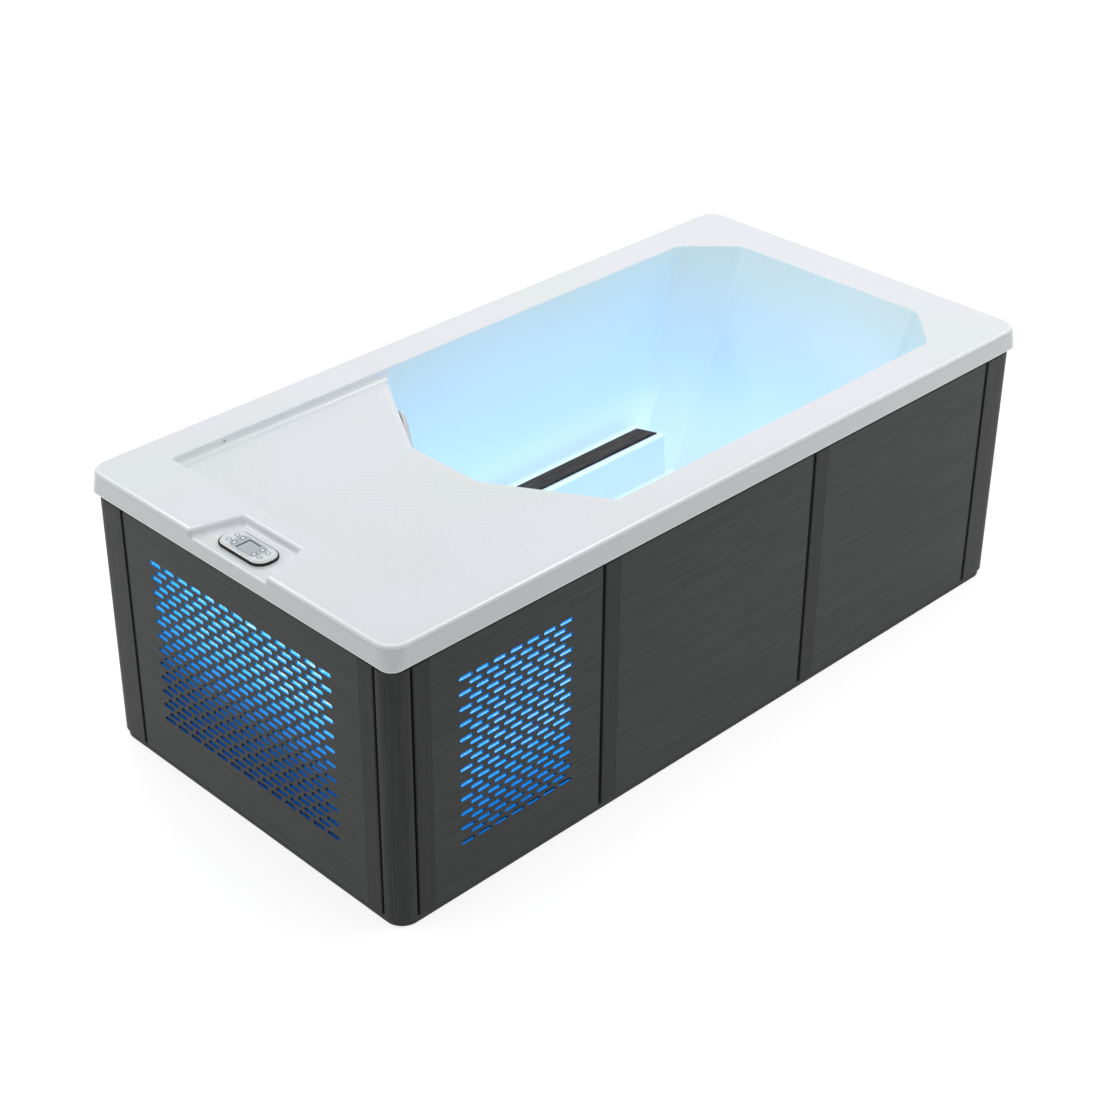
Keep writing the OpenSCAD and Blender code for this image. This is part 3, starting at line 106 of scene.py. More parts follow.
def finish(name, **shader):
    """New material with one principled shader, whose plain values are set on its own sockets."""
    made = bpy.data.materials.new(name)
    made.use_nodes = True
    principled = made.node_tree.nodes["Principled BSDF"]
    feed(principled, {key.replace("_", " "): value for key, value in shader.items()})
    return made, made.node_tree, principled


def white_to_lens(tree, lit, shown):
    """Strength of a white surface: lit for the light that it gives, shown to the lens, mirrors and glass."""
    rays = add(tree, "LightPath").outputs
    seen = rays["Is Camera Ray"]
    for ray in ("Is Glossy Ray", "Is Transmission Ray"):
        seen = add(tree, "Math MAXIMUM", (seen, rays[ray]))
    return add(tree, "MapRange", (seen, 0, 1, lit, shown))


world = bpy.data.worlds.new("white_room")
world.use_nodes = True
scene.world = world
feed(world.node_tree.nodes["Background"],
     {"Color": "#FFFFFF", "Strength": white_to_lens(world.node_tree, 0.50, 1.0)})

floor_mesh = bpy.data.meshes.new("floor")
floor_mesh.from_pydata([(-9, -9, 0), (9, -9, 0), (9, 9, 0), (-9, 9, 0)], [], [(0, 1, 2, 3)])
studio_floor = linked("floor", floor_mesh)
pale, tree, shader = finish("painted_white_floor", Base_Color="#C8C8C8", Roughness=0.8,
                            Emission_Color="#FFFFFF")
feed(shader, {"Emission Strength": white_to_lens(tree, 0.0, 0.69)})
floor_mesh.materials.append(pale)

for name, place, aim, size, power in (
        ("softbox_over", (0.3, 0.4, 3.6), (0, 0, 0), (3.6, 3.6), 25),
        ("softbox_left", (-3.6, 1.9, 1.9), (-1.0, 0.3, 0.4), (1.8, 1.8), 11),
        ("softbox_right", (3.6, -2.3, 1.8), (0.8, -0.5, 0.5), (1.8, 1.8), 17),
        ("strip_box_front", (1.6, -0.8, 3.6), (0, -0.4, 0.7), (3.2, 0.6), 24),
        ("strip_box_rear", (-1.1, 2.9, 3.6), (-0.9, 0, 0.7), (3.2, 0.6), 24)):
    lamp = bpy.data.lights.new(name, "AREA")
    lamp.shape = "RECTANGLE"
    lamp.size, lamp.size_y = size
    lamp.energy = power
    box = linked(name, lamp)
    down = np.subtract(aim, place)
    box.location = place
    box.rotation_euler = (math.acos(-down[2] / np.linalg.norm(down)), 0,
                          math.atan2(down[1], down[0]) - math.pi / 2)


# Base tray: one black vacuum-formed sheet under the whole cabinet, with a turned-up edge.
# Its edge shows as the thin black line along the floor.
def grained(name, dark, light, grains, roughness, bump, **shader):
    """Material of two tones mixed by noise. grains is how many there are in a metre, the same all ways or
    one number each along x, y and z."""
    made, tree, principled = finish(name, Roughness=roughness, **shader)
    place = add(tree, "TexCoord").outputs["Object"]
    grains = grains if isinstance(grains, tuple) else (grains,) * 3
    grain = add(tree, "Mapping", {"Vector": place, "Scale": grains})
    noise = add(tree, "TexNoise", {"Vector": grain, "Scale": 1.0, "Detail": 4.0, "Roughness": 0.6})
    tone = add(tree, "ValToRGB", [noise], ((0.32, dark), (0.68, light)))
    relief = add(tree, "Bump", {"Height": noise, "Strength": bump, "Distance": 0.0004})
    feed(principled, {"Base Color": tone, "Normal": relief})
    return made


def dress(material, *nodes):
    """Gives CAD nodes a material through their objects' slots."""
    for name in nodes:
        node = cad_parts[name]
        if not node.data.materials:
            node.data.materials.append(material)
        for slot in node.material_slots:
            slot.link = "OBJECT"
            slot.material = material


# Vacuum-formed ABS with a leather grain of about 2 mm, drawn at 4 mm so that it shows: matte, faintly mottled.
black_abs = grained("vacuum_formed_black_abs", "#0C0C0D", "#17181A", 250, 0.62, 0.5)
dress(black_abs, "base_tray")

# Base frame, uprights and top frame: welded 38 mm square tube, hot-dip galvanised.
# The zinc's spangle shows as patches of light and dark grey about 12 mm across.
galvanised, tree, shader = finish("galvanised_steel_tube", Metallic=0.85, Roughness=0.42)
place = add(tree, "TexCoord").outputs["Object"]
spangle = add(tree, "TexVoronoi", {"Vector": place, "Scale": 85.0}).outputs["Color"]
feed(shader, {"Base Color": add(tree, "ValToRGB", [spangle], ((0, "#8C9092"), (1, "#B9BDBF")))})
dress(galvanised, "base_frame", "frame_uprights", "top_frame", "chiller_base")

# Bearers under the basin and packers under the rim: planed pine, glued and screwed to the frame.
# Growth rings about 5 mm apart run along each piece.
pine, tree, shader = finish("planed_pine", Roughness=0.6)
place = add(tree, "TexCoord").outputs["Object"]
rings = add(tree, "TexWave", {"Vector": place, "Scale": 60.0, "Distortion": 6.0, "Detail": 3.0,
                              "Detail Scale": 0.4}, bands_direction="Z")
feed(shader, {"Base Color": add(tree, "ValToRGB", [rings], ((0, "#B48A5C"), (1, "#D8B688")))})
dress(pine, "rim_packers", "basin_bearers")

# Insulation round the basin: sprayed polyurethane foam, cut back flush.
# Cells and skin show as soft lumps of 8 mm in pale yellow. The cartridge's pleated cloth is as soft but white.
dress(grained("sprayed_polyurethane_foam", "#CDBB86", "#E8DDB4", 120, 0.9, 1.0), "insulation_foam")
dress(grained("pleated_polyester_cloth", "#DCE4E8", "#F2F6F8", (400, 400, 60), 0.85, 0.6), "filter_cartridge")

# Chiller: compressor, fan motor and pump are cast and pressed parts in satin black stove enamel.
# Orange peel of 3 mm in the enamel breaks up its shine; the coil, plates and lines stay bare metal.
dress(grained("satin_black_stove_enamel", "#0B0B0C", "#151618", 300, 0.36, 0.3),
      "compressor", "fan_motor", "circulation_pump")
dress(grained("rolled_aluminium_fins", "#A4A8AA", "#C6CACC", (900, 30, 900), 0.4, 0.2, Metallic=0.9),
      "condenser_coil")
dress(grained("brazed_stainless_plates", "#8E8B7E", "#B3AF9F", (60, 60, 200), 0.38, 0.2, Metallic=0.85),
      "heat_exchanger")
dress(grained("drawn_copper_tube", "#A2583A", "#C9805A", (200, 200, 40), 0.32, 0.15, Metallic=0.95),
      "refrigerant_lines")
# Glass-filled nylon of the fan, its shroud and the ozone generator: matte black with pale flecks of 2 mm
dress(grained("glass_filled_black_nylon", "#0F1011", "#1E2022", 500, 0.55, 0.4),
      "fan_shroud", "fan_rotor", "ozone_generator")
dress(grained("moulded_grey_abs", "#BBBEC0", "#C8CBCC", 300, 0.5, 0.3), "control_box")
dress(grained("moulded_acetal", "#A79F88", "#B9B197", 300, 0.45, 0.2), "pump_rotor")

# Water pipes and filter canister: extruded and moulded rigid PVC, solvent-welded.
# Off-white with faint draw lines along the pipes.
dress(grained("extruded_white_pvc", "#DDDEDB", "#ECECE9", 160, 0.35, 0.12), "water_pipes", "filter_canister")


# Light strips under the top rails and the diffusers in front of them: blue LEDs behind opal acrylic. The
# diffusers' glow is painted into their emission: a painted falloff from the upper slots to the floor, stronger
# on the deck end, as painted shade where the machinery would shade it.
def painted_glow_material(name, rise, across, depth=None, colour="#0F3F8C"):
    """Material whose glow is painted into its emission, for an opal sheet or a slot's walls. rise holds two
    heights in metres and the light at each. across, along the sheet, and depth, through a board, hold an axis,
    two places on it in metres and the share of light at each."""
    made, tree, shader = finish(name, Base_Color=colour, Roughness=0.35, Emission_Strength=1.15)
    place = add(tree, "TexCoord").outputs["Object"]
    axes = add(tree, "SeparateXYZ", [place]).outputs
    cloud = add(tree, "TexNoise", {"Vector": place, "Scale": 9.0, "Detail": 2.0})
    light = add(tree, "Math MULTIPLY_ADD", (cloud, 0.4, 0.80))
    for axis, *limits in (("Z", *rise), across):
        fade = add(tree, "MapRange", (axes[axis], *limits), interpolation_type="SMOOTHSTEP")
        light = add(tree, "Math MULTIPLY", (light, fade))
    # Painted streaks of light from the single LEDs, upright and 5 to 10 mm wide, and painted white glints near
    # the top
    streak = add(tree, "Mapping", {"Vector": place, "Scale": (150, 150, 30)})
    streak = add(tree, "TexNoise", {"Vector": streak, "Scale": 1.0, "Detail": 1.0})
    streak = add(tree, "Math MULTIPLY_ADD", (streak, 0.6, 0.70))
    light = add(tree, "Math MULTIPLY", (light, streak))
    painted_glints = add(tree, "TexVoronoi", {"Vector": place, "Scale": 11.0})
    painted_glints = add(tree, "MapRange", (painted_glints, 0.34, 0.16, 0, 0.5))
    near_top = add(tree, "MapRange", (axes["Z"], 0.515, 0.535))
    painted_glints = add(tree, "Math MULTIPLY", (painted_glints, near_top))
    light = add(tree, "Math ADD", (light, painted_glints))
    if depth:
        through = add(tree, "MapRange", (axes[depth[0]], *depth[1:]))
        light = add(tree, "Math MULTIPLY", (light, through))
    tint = add(tree, "ValToRGB", [light],
               ((0, "#031634"), (0.42, "#1C8CE8"), (0.80, "#58D2FF"), (1, "#F2FDFF")))
    feed(shader, {"Emission Color": tint})
    return made


end_across = ("Y", 0.31, 0.19, 0.72, 1.0)
front_across = ("X", -0.84, -0.52, 0.85, 1.0)
dress(painted_glow_material("opal_diffuser_end_painted_glow", (0.20, 0.385, 0.06, 0.82), end_across), "glow_panel_end")
dress(painted_glow_material("opal_diffuser_front_painted_glow", (0.05, 0.32, 0.15, 0.44), front_across), "glow_panel_front")
blue_led, tree, shader = finish("blue_led_strip", Base_Color="#DCEBFF", Roughness=0.3,
                                Emission_Color="#6FC4FF")
place = add(tree, "TexCoord").outputs["Object"]
chips = add(tree, "TexVoronoi", {"Vector": place, "Scale": 60.0})
feed(shader, {"Emission Strength": add(tree, "MapRange", (chips, 0.0, 0.5, 6.0, 2.0))})
dress(blue_led, "led_strips")


# Cladding: extruded wood-plastic board, brushed and toned nearly black, clipped to the frame.
# Fields carry a level grain; the corner posts and stiles carry an upright one.
def polygon_arc(middle, radius, start, end, steps):
    """Points on an arc: the middle plus the radius times the cosine and sine of evenly spaced angles."""
    turn = np.radians(np.linspace(start, end, steps))
    return np.stack([middle[0] + radius * np.cos(turn), middle[1] + radius * np.sin(turn)], 1)


def show(name, mesh, material, slot, *replaced, body="tub"):
    """Links a finished mesh as a piece that rides on a body and stands for CAD nodes."""
    shown = linked(name, mesh)
    mesh.materials.append(material)
    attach(shown, body)
    if replaced:
        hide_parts(*replaced)
    return shown


def read(items, key):
    """Three numbers of each of a mesh's vertices or faces, in rows."""
    values = np.zeros(len(items) * 3)
    items.foreach_get(key, values)
    return values.reshape(-1, 3)


def sheet_cut(outlines, low, high, edge, turn=np.eye(3)):
    """Flat board: a filled flat curve of outlines in mm, thick from low to high, its edges chamfered by edge.
    turn holds the three directions that the curve's x, y and thickness point to."""
    curve = bpy.data.curves.new("outline", "CURVE")
    curve.dimensions = "2D"
    curve.fill_mode = "BOTH"
    curve.extrude = (high - low) / 2000 - edge / 1000
    curve.bevel_depth = edge / 1000
    curve.offset = -edge / 1000
    curve.bevel_resolution = 0
    for points in outlines:
        line = curve.splines.new("POLY")
        line.points.add(len(points) - 1)
        flat = np.zeros((len(points), 4))
        flat[:, :2] = np.asarray(points) / 1000
        line.points.foreach_set("co", flat.ravel())
        line.use_cyclic_u = True
    holder = linked("outline", curve)
    bpy.context.view_layer.update()
    mesh = bpy.data.meshes.new_from_object(holder.evaluated_get(bpy.context.evaluated_depsgraph_get()))
    bpy.data.objects.remove(holder)
    bpy.data.curves.remove(curve)
    points = (read(mesh.vertices, "co") + [0, 0, (low + high) / 2000]) @ turn
    mesh.vertices.foreach_set("co", points.ravel())
    return merged(mesh)


def merged(mesh, gap=0.00001, angle=28):
    """Joins a mesh's doubles, turns its faces outwards and marks edges sharper than angle."""
    work = bmesh.new()
    work.from_mesh(mesh)
    bmesh.ops.remove_doubles(work, verts=work.verts, dist=gap)
    bmesh.ops.recalc_face_normals(work, faces=work.faces)
    work.to_mesh(mesh)
    work.free()
    mesh.shade_smooth()
    mesh.set_sharp_from_angle(angle=math.radians(angle))
    return mesh


def rectangle(u0, u1, v0, v1):
    """Four corners of an upright rectangle, anticlockwise."""
    return np.array([(u0, v0), (u1, v0), (u1, v1), (u0, v1)], float)


def brushed_board(name, upright, dark, light):
    """Brushed board: long dark and light streaks over fine scratches, level or upright. Streaks are 20 to
    60 mm long and 3 to 5 mm wide, scratches 1 mm wide."""
    made, tree, shader = finish(name, Roughness=0.52, Specular_IOR_Level=0.3)
    place = add(tree, "TexCoord").outputs["Object"]
    streak = add(tree, "Mapping", {"Vector": place, "Scale": (150, 150, 5) if upright else (5, 5, 160)})
    wide = add(tree, "TexNoise", {"Vector": streak, "Scale": 1.0, "Detail": 2.0, "Roughness": 0.5})
    scratch = add(tree, "Mapping", {"Vector": place, "Scale": (380, 380, 14) if upright else (16, 16, 400)})
    fine = add(tree, "TexNoise", {"Vector": scratch, "Scale": 1.0, "Detail": 2.0})
    both = add(tree, "Math MULTIPLY_ADD", (fine, 0.6, wide))
    tone = add(tree, "ValToRGB", [both], ((0.55, dark), (1.0, light)))
    relief = add(tree, "Bump", {"Height": both, "Strength": 0.35, "Distance": 0.0005})
    feed(shader, {"Base Color": tone, "Normal": relief})
    return made


level_board = brushed_board("brushed_composite_board_level", False, "#262828", "#393B3B")
upright_board = brushed_board("brushed_composite_board_upright", True, "#1F2020", "#303131")

# Half length and half width over the boards, their thickness, lower and upper edge and chamfer, in mm
clad_x, clad_y, board = 999, 489, 12
clad_low, clad_high, chamfer = 16, 630, 1.2
# Directions of a board's width, height and outward side on the front, the rear, the deck end and the head end
FRONT = ((1, 0, 0), (0, 0, 1), (0, -1, 0))
REAR = ((1, 0, 0), (0, 0, 1), (0, 1, 0))
DECK_END = ((0, 1, 0), (0, 0, 1), (-1, 0, 0))
HEAD_END = ((0, 1, 0), (0, 0, 1), (1, 0, 0))
# Middles of the shadow gaps, and the stile beside each. Between them lie the fields, 1 mm further in
side_gaps, end_gaps = (-948.5, -419, 252, 893), (-435.5, 384.5)
sides = ((FRONT, clad_y, side_gaps), (REAR, clad_y, side_gaps), (DECK_END, clad_x, end_gaps),
         (HEAD_END, clad_x, end_gaps))
half_gap, stile, set_back = 4.5, 42, 1
face_x, face_y = clad_x - set_back, clad_y - set_back


def field(gaps, n=0):
    """Outline of the board between shadow gap n and the next, beside its stile."""
    return rectangle(gaps[n] + half_gap + stile, gaps[n + 1] - half_gap, clad_low, clad_high)


for name, side in (("front", FRONT), ("rear", REAR)):
    for label, n in (("middle", 1), ("head", 2)):
        show(f"{name}_board_{label}", sheet_cut([field(side_gaps, n)], clad_y - board, face_y, chamfer, side),
             level_board, "cladding", f"{name}_panel_{label}")
show("head_end_board", sheet_cut([field(end_gaps)], clad_x - board, face_x, chamfer, HEAD_END), level_board,
     "cladding", "end_panel_head")


# Vented boards: the same board planed to 6.5 mm, with round-ended slots routed through it.
# Even rows hold one slot more than the rows between them, which are shifted by part of a spacing.
def slot_outlines(middle, count):
    """Outlines of all slots: a stadium of two half circles, moved to each place of the two staggered grids."""
    length, width, steps = 37, 10, 7
    pitch, row_pitch, rows, low, shift = 46.7, 37, 12, 135, 0.6
    reach = (length - width) / 2
    stadium = np.concatenate([polygon_arc((reach, 0), width / 2, -90, 90, steps),
                              polygon_arc((-reach, 0), width / 2, 90, 270, steps)])
    slots = []
    for fewer, along, up in ((0, 0, 0), (1, shift, 0.5)):
        i, row = np.meshgrid(np.arange(count - fewer) + along, np.arange(rows - fewer) + up)
        places = np.stack([middle + (i - (count - 1) / 2) * pitch, low + row * row_pitch], -1).reshape(-1, 2)
        slots += list(places[:, None] + stadium)
    return slots


def routed(board_piece, out, *materials):
    """Gives a vented board's slots materials: for the chamfers, the walls, and the walls that look up. A face
    belongs to a slot if it lies more than the border inside the board and doesn't look along out."""
    mesh, border = board_piece.data, 0.04
    for material in materials:
        mesh.materials.append(material)
    looks = read(mesh.polygons, "normal")
    facing = np.abs(looks @ out)
    middles = read(mesh.polygons, "center")[:, np.abs(out) < 0.5]
    inner = np.all((middles > middles.min(0) + border) & (middles < middles.max(0) - border), axis=1)
    kind = np.select([~inner | (facing > 0.95), facing > 0.5, looks[:, 2] > 0.93], [0, 1, 3], 2)
    mesh.polygons.foreach_set("material_index", kind.astype(np.int32))


# Painted shade darkens the routed edges, and the slots' walls are dark board with a painted blue glow, as if
# they caught a little of the blue light. The walls that look up get the painted glow in full, and it fades from
# the board's back to its face.
painted_edge_shade = grained("slot_edge_painted_shade", "#050608", "#0C0E12", 300, 0.6, 0.2)
vent_board, vent_edge = 6.5, 0.6
painted_wall_shade = "#0A1220"
end_wall = painted_glow_material("routed_board_wall_end_painted_glow", (0.26, 0.44, 0.0, 0.15), end_across, colour=painted_wall_shade)
end_sill = painted_glow_material("routed_board_sill_end_painted_glow", (0.245, 0.43, 0.04, 0.78), end_across,
                    ("X", (vent_board - face_x) / 1000, -face_x / 1000, 1.12, 0.30))
front_wall = painted_glow_material("routed_board_wall_front_painted_glow", (0.12, 0.38, 0.02, 0.13), front_across, colour=painted_wall_shade)
front_sill = painted_glow_material("routed_board_sill_front_painted_glow", (0.095, 0.365, 0.13, 0.45), front_across,
                      ("Y", (vent_board - face_y) / 1000, -face_y / 1000, 2.7, 0.0))
front_vents = sheet_cut([field(side_gaps), *slot_outlines(-666.75, 7)], face_y - vent_board, face_y, vent_edge,
                        FRONT)
routed(show("front_board_vented", front_vents, level_board, "cladding", "front_panel_vented"),
       FRONT[2], painted_edge_shade, front_wall, front_sill)
end_vents = sheet_cut([field(end_gaps), *slot_outlines(-4.5, 13)], face_x - vent_board, face_x, vent_edge,
                      DECK_END)
routed(show("deck_end_board_vented", end_vents, level_board, "cladding", "end_panel_vented"),
       DECK_END[2], painted_edge_shade, end_wall, end_sill)

# Service board on the rear: the drain's niche and the cable's gland come through it.
# Both cut-outs are routed and left plain.
niche_hole = rectangle(-755, -605, 46, 176)
gland_hole = polygon_arc((-845, 106), 8.9, 0, 345, 24)
service = sheet_cut([field(side_gaps), niche_hole, gland_hole], clad_y - board, face_y, 0.8, REAR)
show("rear_board_service", service, level_board, "cladding", "rear_panel_service")

# Stiles and corner posts: boards with an upright grain that stand 1 mm proud beside each shadow gap.
# The posts are bent to a 42 mm radius round the tub's corners.
stile_board = brushed_board("brushed_composite_board_stile", True, "#131414", "#202121")
stile_meshes = []
for side, reach, gaps in sides:
    for middle in gaps[:-1]:
        strip = rectangle(middle + half_gap, middle + half_gap + stile, clad_low, clad_high)
        stile_meshes.append(sheet_cut([strip], reach - board, reach, chamfer, side))


def joined(name, meshes):
    """One mesh from several: their points and faces one after the other."""
    counts = np.cumsum([0] + [len(m.vertices) for m in meshes])
    points = [read(m.vertices, "co") for m in meshes]
    faces = [[i + first for i in face.vertices] for m, first in zip(meshes, counts) for face in m.polygons]
    one = bpy.data.meshes.new(name)
    one.from_pydata(np.concatenate(points), [], faces)
    return merged(one)


show("stiles", joined("stiles", stile_meshes), stile_board, "cladding_trim", "stile_battens")

post_radius, post_inner = 42, 18
post_meshes = []
for sx, sy in ((-1, -1), (1, -1), (1, 1), (-1, 1)):
    leg_x = clad_x - (46 if sx < 0 else 101.5)
    leg_y = clad_y - (49 if sy < 0 else 100)
    outer = polygon_arc((clad_x - post_radius, clad_y - post_radius), post_radius, 0, 90, 13)
    inner = polygon_arc((clad_x - board - post_inner, clad_y - board - post_inner), post_inner, 90, 0, 9)
    corner = np.concatenate([[(clad_x, leg_y)], outer, [(leg_x, clad_y), (leg_x, clad_y - board)], inner,
                             [(clad_x - board, leg_y)]])
    post_meshes.append(sheet_cut([corner * (sx, sy)], clad_low, clad_high, 1.0))
show("posts", joined("posts", post_meshes), upright_board, "cladding_trim", "corner_posts")

# Backing strips behind the shadow gaps: extruded black PVC, stapled to the frame.
# Matte, so that each gap reads as a plain black line.
black_pvc = grained("extruded_black_pvc", "#070707", "#0D0D0D", (200, 200, 20), 0.75, 0.2)
dress(black_pvc, "backing_strips")
# The liners on both walls of each gap are thin black pieces that stand in for the gap's shade: painted shade.
liner_wall, liner_depth, liner_play = 1.4, 0.7, 0.1
liner_meshes = []
for side, reach, gaps in sides:
    for middle in gaps:
        for inner in (-half_gap + liner_play, half_gap - liner_play - liner_wall):
            strip = rectangle(middle + inner, middle + inner + liner_wall, clad_low, clad_high)
            liner_meshes.append(sheet_cut([strip], reach - board, reach - liner_depth, 0.3, side))
show("gap_shade_liners", joined("gap_shade_liners", liner_meshes), black_pvc, "black_plastic")


# Rim shadow band: a black band between the boards' top edge and the rim's underside, in the black rubber. It
# shows as a black line under the lip and stands in for the lip's shadow: painted shade.
def round_rectangle(half_x, half_y, radius, steps=9):
    """Outline of a rectangle round the origin with quarter circles at its corners."""
    corners = [((half_x - radius) * sx, (half_y - radius) * sy, a)
               for sx, sy, a in ((1, 1, 0), (-1, 1, 90), (-1, -1, 180), (1, -1, 270))]
    return np.concatenate([polygon_arc(c[:2], radius, c[2], c[2] + 90, steps) for c in corners])


rubber = grained("closed_cell_black_rubber", "#060606", "#0D0D0D", 300, 0.85, 0.2)
shadow_band_low, shadow_band_high = clad_high - 1, 644
shadow_band_outlines = [round_rectangle(clad_x - inset, clad_y - inset, radius)
                 for inset, radius in ((1.5, 40), (11, 31))]
show("rim_shadow_band", sheet_cut(shadow_band_outlines, shadow_band_low, shadow_band_high, 0.5), rubber, "black_plastic")

# Acrylic shell: one sheet of white cast acrylic drawn into a mould, 6 mm thick, trimmed at the lip.
# The rim's edge turns down over 9.5 mm; the basin's walls run straight from the rim to the floor.
tub_x, tub_y, tub_top = 1005, 495, 695
lip_bottom, notch_floor, deck_level, basin_floor, ledge_top = 640, 677, 670, 130, 250
ledge_start, ledge_front, ledge_head, ledge_skew, ledge_lean = -100, 275.619, 613.186, 30 / 82, 6 / 120
recess_end, recess_lean, notch_depth, notch_lean, flare = 850, 3 / 25, 119, 5 / 18, 35 / 119
shell_wall = 6
wall_depth, deck_depth = tub_top - basin_floor, deck_level - basin_floor
# Each leaning wall's direction in degrees, its distance from the middle at the top, and how far it leans in
BASIN_WALLS = {"head": (0, 886, 241), "head_corner": (45, 824.487, 188), "side": (90, 397, 50)}
DECK_WALLS = {"deck_corner": (148.7849, 408.144, 32), "deck_end": (180, 413, 32)}


def shell_planes(notch_half, grow):
    """Every face's plane as three direction numbers and a distance: direction times place is the distance.
    A leaning wall's distance shrinks with depth. grow moves each face out through the sheet, in mm."""
    planes = {
        "middle": (0, 1, 0, 0), "top": (0, 0, 1, tub_top - grow), "deck": (0, 0, 1, deck_level - grow),
        "floor": (0, 0, 1, basin_floor - grow), "ledge": (0, 0, 1, ledge_top - grow),
        "notch": (0, 0, 1, notch_floor - grow), "end": (1, 0, 0, -tub_x + grow),
        "split": (1, 0, 0, -238)}
    for walls, start, fall in ((BASIN_WALLS, tub_top, wall_depth), (DECK_WALLS, deck_level, deck_depth)):
        for name, (angle, distance, inset) in walls.items():
            turn = math.radians(angle)
            lean = inset / fall
            planes[name] = (math.cos(turn), math.sin(turn), -lean, distance - lean * start + grow)
    planes["recess"] = (-1, 0, -recess_lean, recess_end - recess_lean * tub_top + grow)
    planes["notch_side"] = (flare, 1, -notch_lean, notch_half - tub_x * flare - notch_lean * tub_top + grow)
    planes["notch_back"] = (1, 0, -notch_lean, notch_depth - tub_x - notch_lean * tub_top + grow)
    planes["ledge_front"] = (0, 1, -ledge_lean, ledge_front - ledge_lean * ledge_top + grow)
    planes["ledge_start"] = (1, 0, -ledge_lean, ledge_start - ledge_lean * ledge_top + grow)
    planes["ledge_end"] = (1, ledge_skew, 0, ledge_head - grow + ledge_skew * ledge_front)
    return planes


# Corners of half the shell, each where three faces meet
CORNERS = dict(corner.split(" ", 1) for corner in (
    "A0 head top middle, A1 head head_corner top, A2 head_corner side top, A3 side recess top, "
    "A4 recess top middle, AX side top split, D0 recess deck middle, D1 recess side deck, "
    "D2 side deck_corner deck, D3 deck_corner deck_end deck, D4 deck_end deck middle, "
    "F0 deck_end floor middle, F1 deck_corner deck_end floor, F2 side deck_corner floor, "
    "F3 side ledge_start floor, F4 ledge_front ledge_start floor, F5 ledge_front ledge_end floor, "
    "F6 head_corner ledge_end floor, F7 head head_corner floor, F8 head floor middle, "
    "L0 ledge ledge_front ledge_start, L1 ledge ledge_front ledge_end, L2 ledge side ledge_end, "
    "L3 ledge side ledge_start, K head_corner side ledge_end, N0 end notch_side top, "
    "N1 end notch_side notch, N2 notch_side notch_back top, N3 notch_side notch_back notch, "
    "N4 notch_back top middle, N5 notch_back notch middle, N6 end notch middle").split(", "))
# Faces of half the shell: what each is, and its corners seen from above or from inside the basin
FACES = [face.split() for face in (
    "deck D0 D4 D3 D2 D1, recess A4 D0 D1 A3, side A3 D1 D2 AX, deck_end D4 F0 F1 D3, "
    "deck_corner D3 F1 F2 D2, side AX D2 F2 F3 L3 L2 K A2, head_corner A2 K F6 F7 A1, head A1 F7 F8 A0, "
    "floor F0 F8 F7 F6 F5 F4 F3 F2 F1, ledge L0 L1 L2 L3, ledge_front L0 F4 F5 L1, ledge_start L0 L3 F3 F4, "
    "ledge_end L1 F5 F6 K L2, notch N6 N5 N3 N1, notch_side N0 N1 N3 N2, notch_back N2 N3 N5 N4").split(", ")]
# Radius of the edge between two faces, in mm: small where the sheet turns over, wide in the basin's creases
EDGES = {
    4: "top head, top head_corner, top side, top recess",
    5: "notch_side lip, deck deck_corner, deck deck_end, floor ledge_end",
    6: "top notch_side, top notch_back, notch notch_side, notch notch_back, notch lip, floor head_corner",
    8: "ledge ledge_front, ledge ledge_start, ledge ledge_end, ledge side",
    9: "deck recess",
    9.5: "top lip",
    10: "notch_side notch_back, recess side, ledge_end side",
    12: "ledge_front ledge_start, ledge_front ledge_end, ledge_start side, ledge_end head_corner",
    14: "deck side, head head_corner, head_corner side, floor ledge_front, floor ledge_start",
    16: "deck_corner deck_end, deck_corner side",
    22: "floor head, floor side, floor deck_corner, floor deck_end"}
# The mould's draft makes the rim's corners rounder at the top than along the lip's lower edge
rim_radius, lip_radius, arc_steps = 48, 28, 11


def half_shell(side, grow):
    """Points and faces of the half shell on one side, 1 for the rear and -1 for the front. A corner is the
    point that lies on its three planes, all solved at once; the lip's corner arcs are a radius turned about."""
    planes = shell_planes(128.5 + 3 * side, grow)
    triples = np.array([[planes[name] for name in trio.split()] for trio in CORNERS.values()], float)
    points = np.linalg.solve(triples[:, :, :3], triples[:, :, 3:])[:, :, 0]
    index = {name: i for i, name in enumerate(CORNERS)}
    x, y = tub_x - grow, tub_y - grow
    arcs = [np.concatenate([[(x, 0)], polygon_arc((x - radius, y - radius), radius, 0, 90, arc_steps),
                            polygon_arc((radius - x, y - radius), radius, 90, 180, arc_steps), [(-x, 0)]])
            for radius in (rim_radius - grow, lip_radius - grow)]
    count = len(arcs[0])
    first = len(points)
    rim = np.column_stack([arcs[0][:-1], np.full(count - 1, tub_top - grow)])
    low = np.column_stack([arcs[1], np.full(count, lip_bottom)])
    points = np.concatenate([points, rim, low])
    top = first + np.arange(count - 1)
    bottom = first + count - 1 + np.arange(count)
    faces = [(name, [index[c] for c in corners]) for name, *corners in FACES]
    faces += [
        ("top", [*top[:arc_steps + 1], index["A2"], index["A1"], index["A0"]]),
        ("top", [*top[arc_steps:arc_steps + 2], index["A3"], index["AX"], index["A2"]]),
        ("top", [*top[arc_steps + 1:], index["N0"], index["N2"], index["N4"], index["A4"], index["A3"]]),
        ("lip", [top[-1], bottom[-2], bottom[-1], index["N6"], index["N1"], index["N0"]])]
    faces += [("lip", [top[i], bottom[i], bottom[i + 1], top[i + 1]]) for i in range(count - 2)]
    points[:, 1] *= side
    if side < 0:
        faces = [(name, corners[::-1]) for name, corners in faces]
    return points, faces, bottom


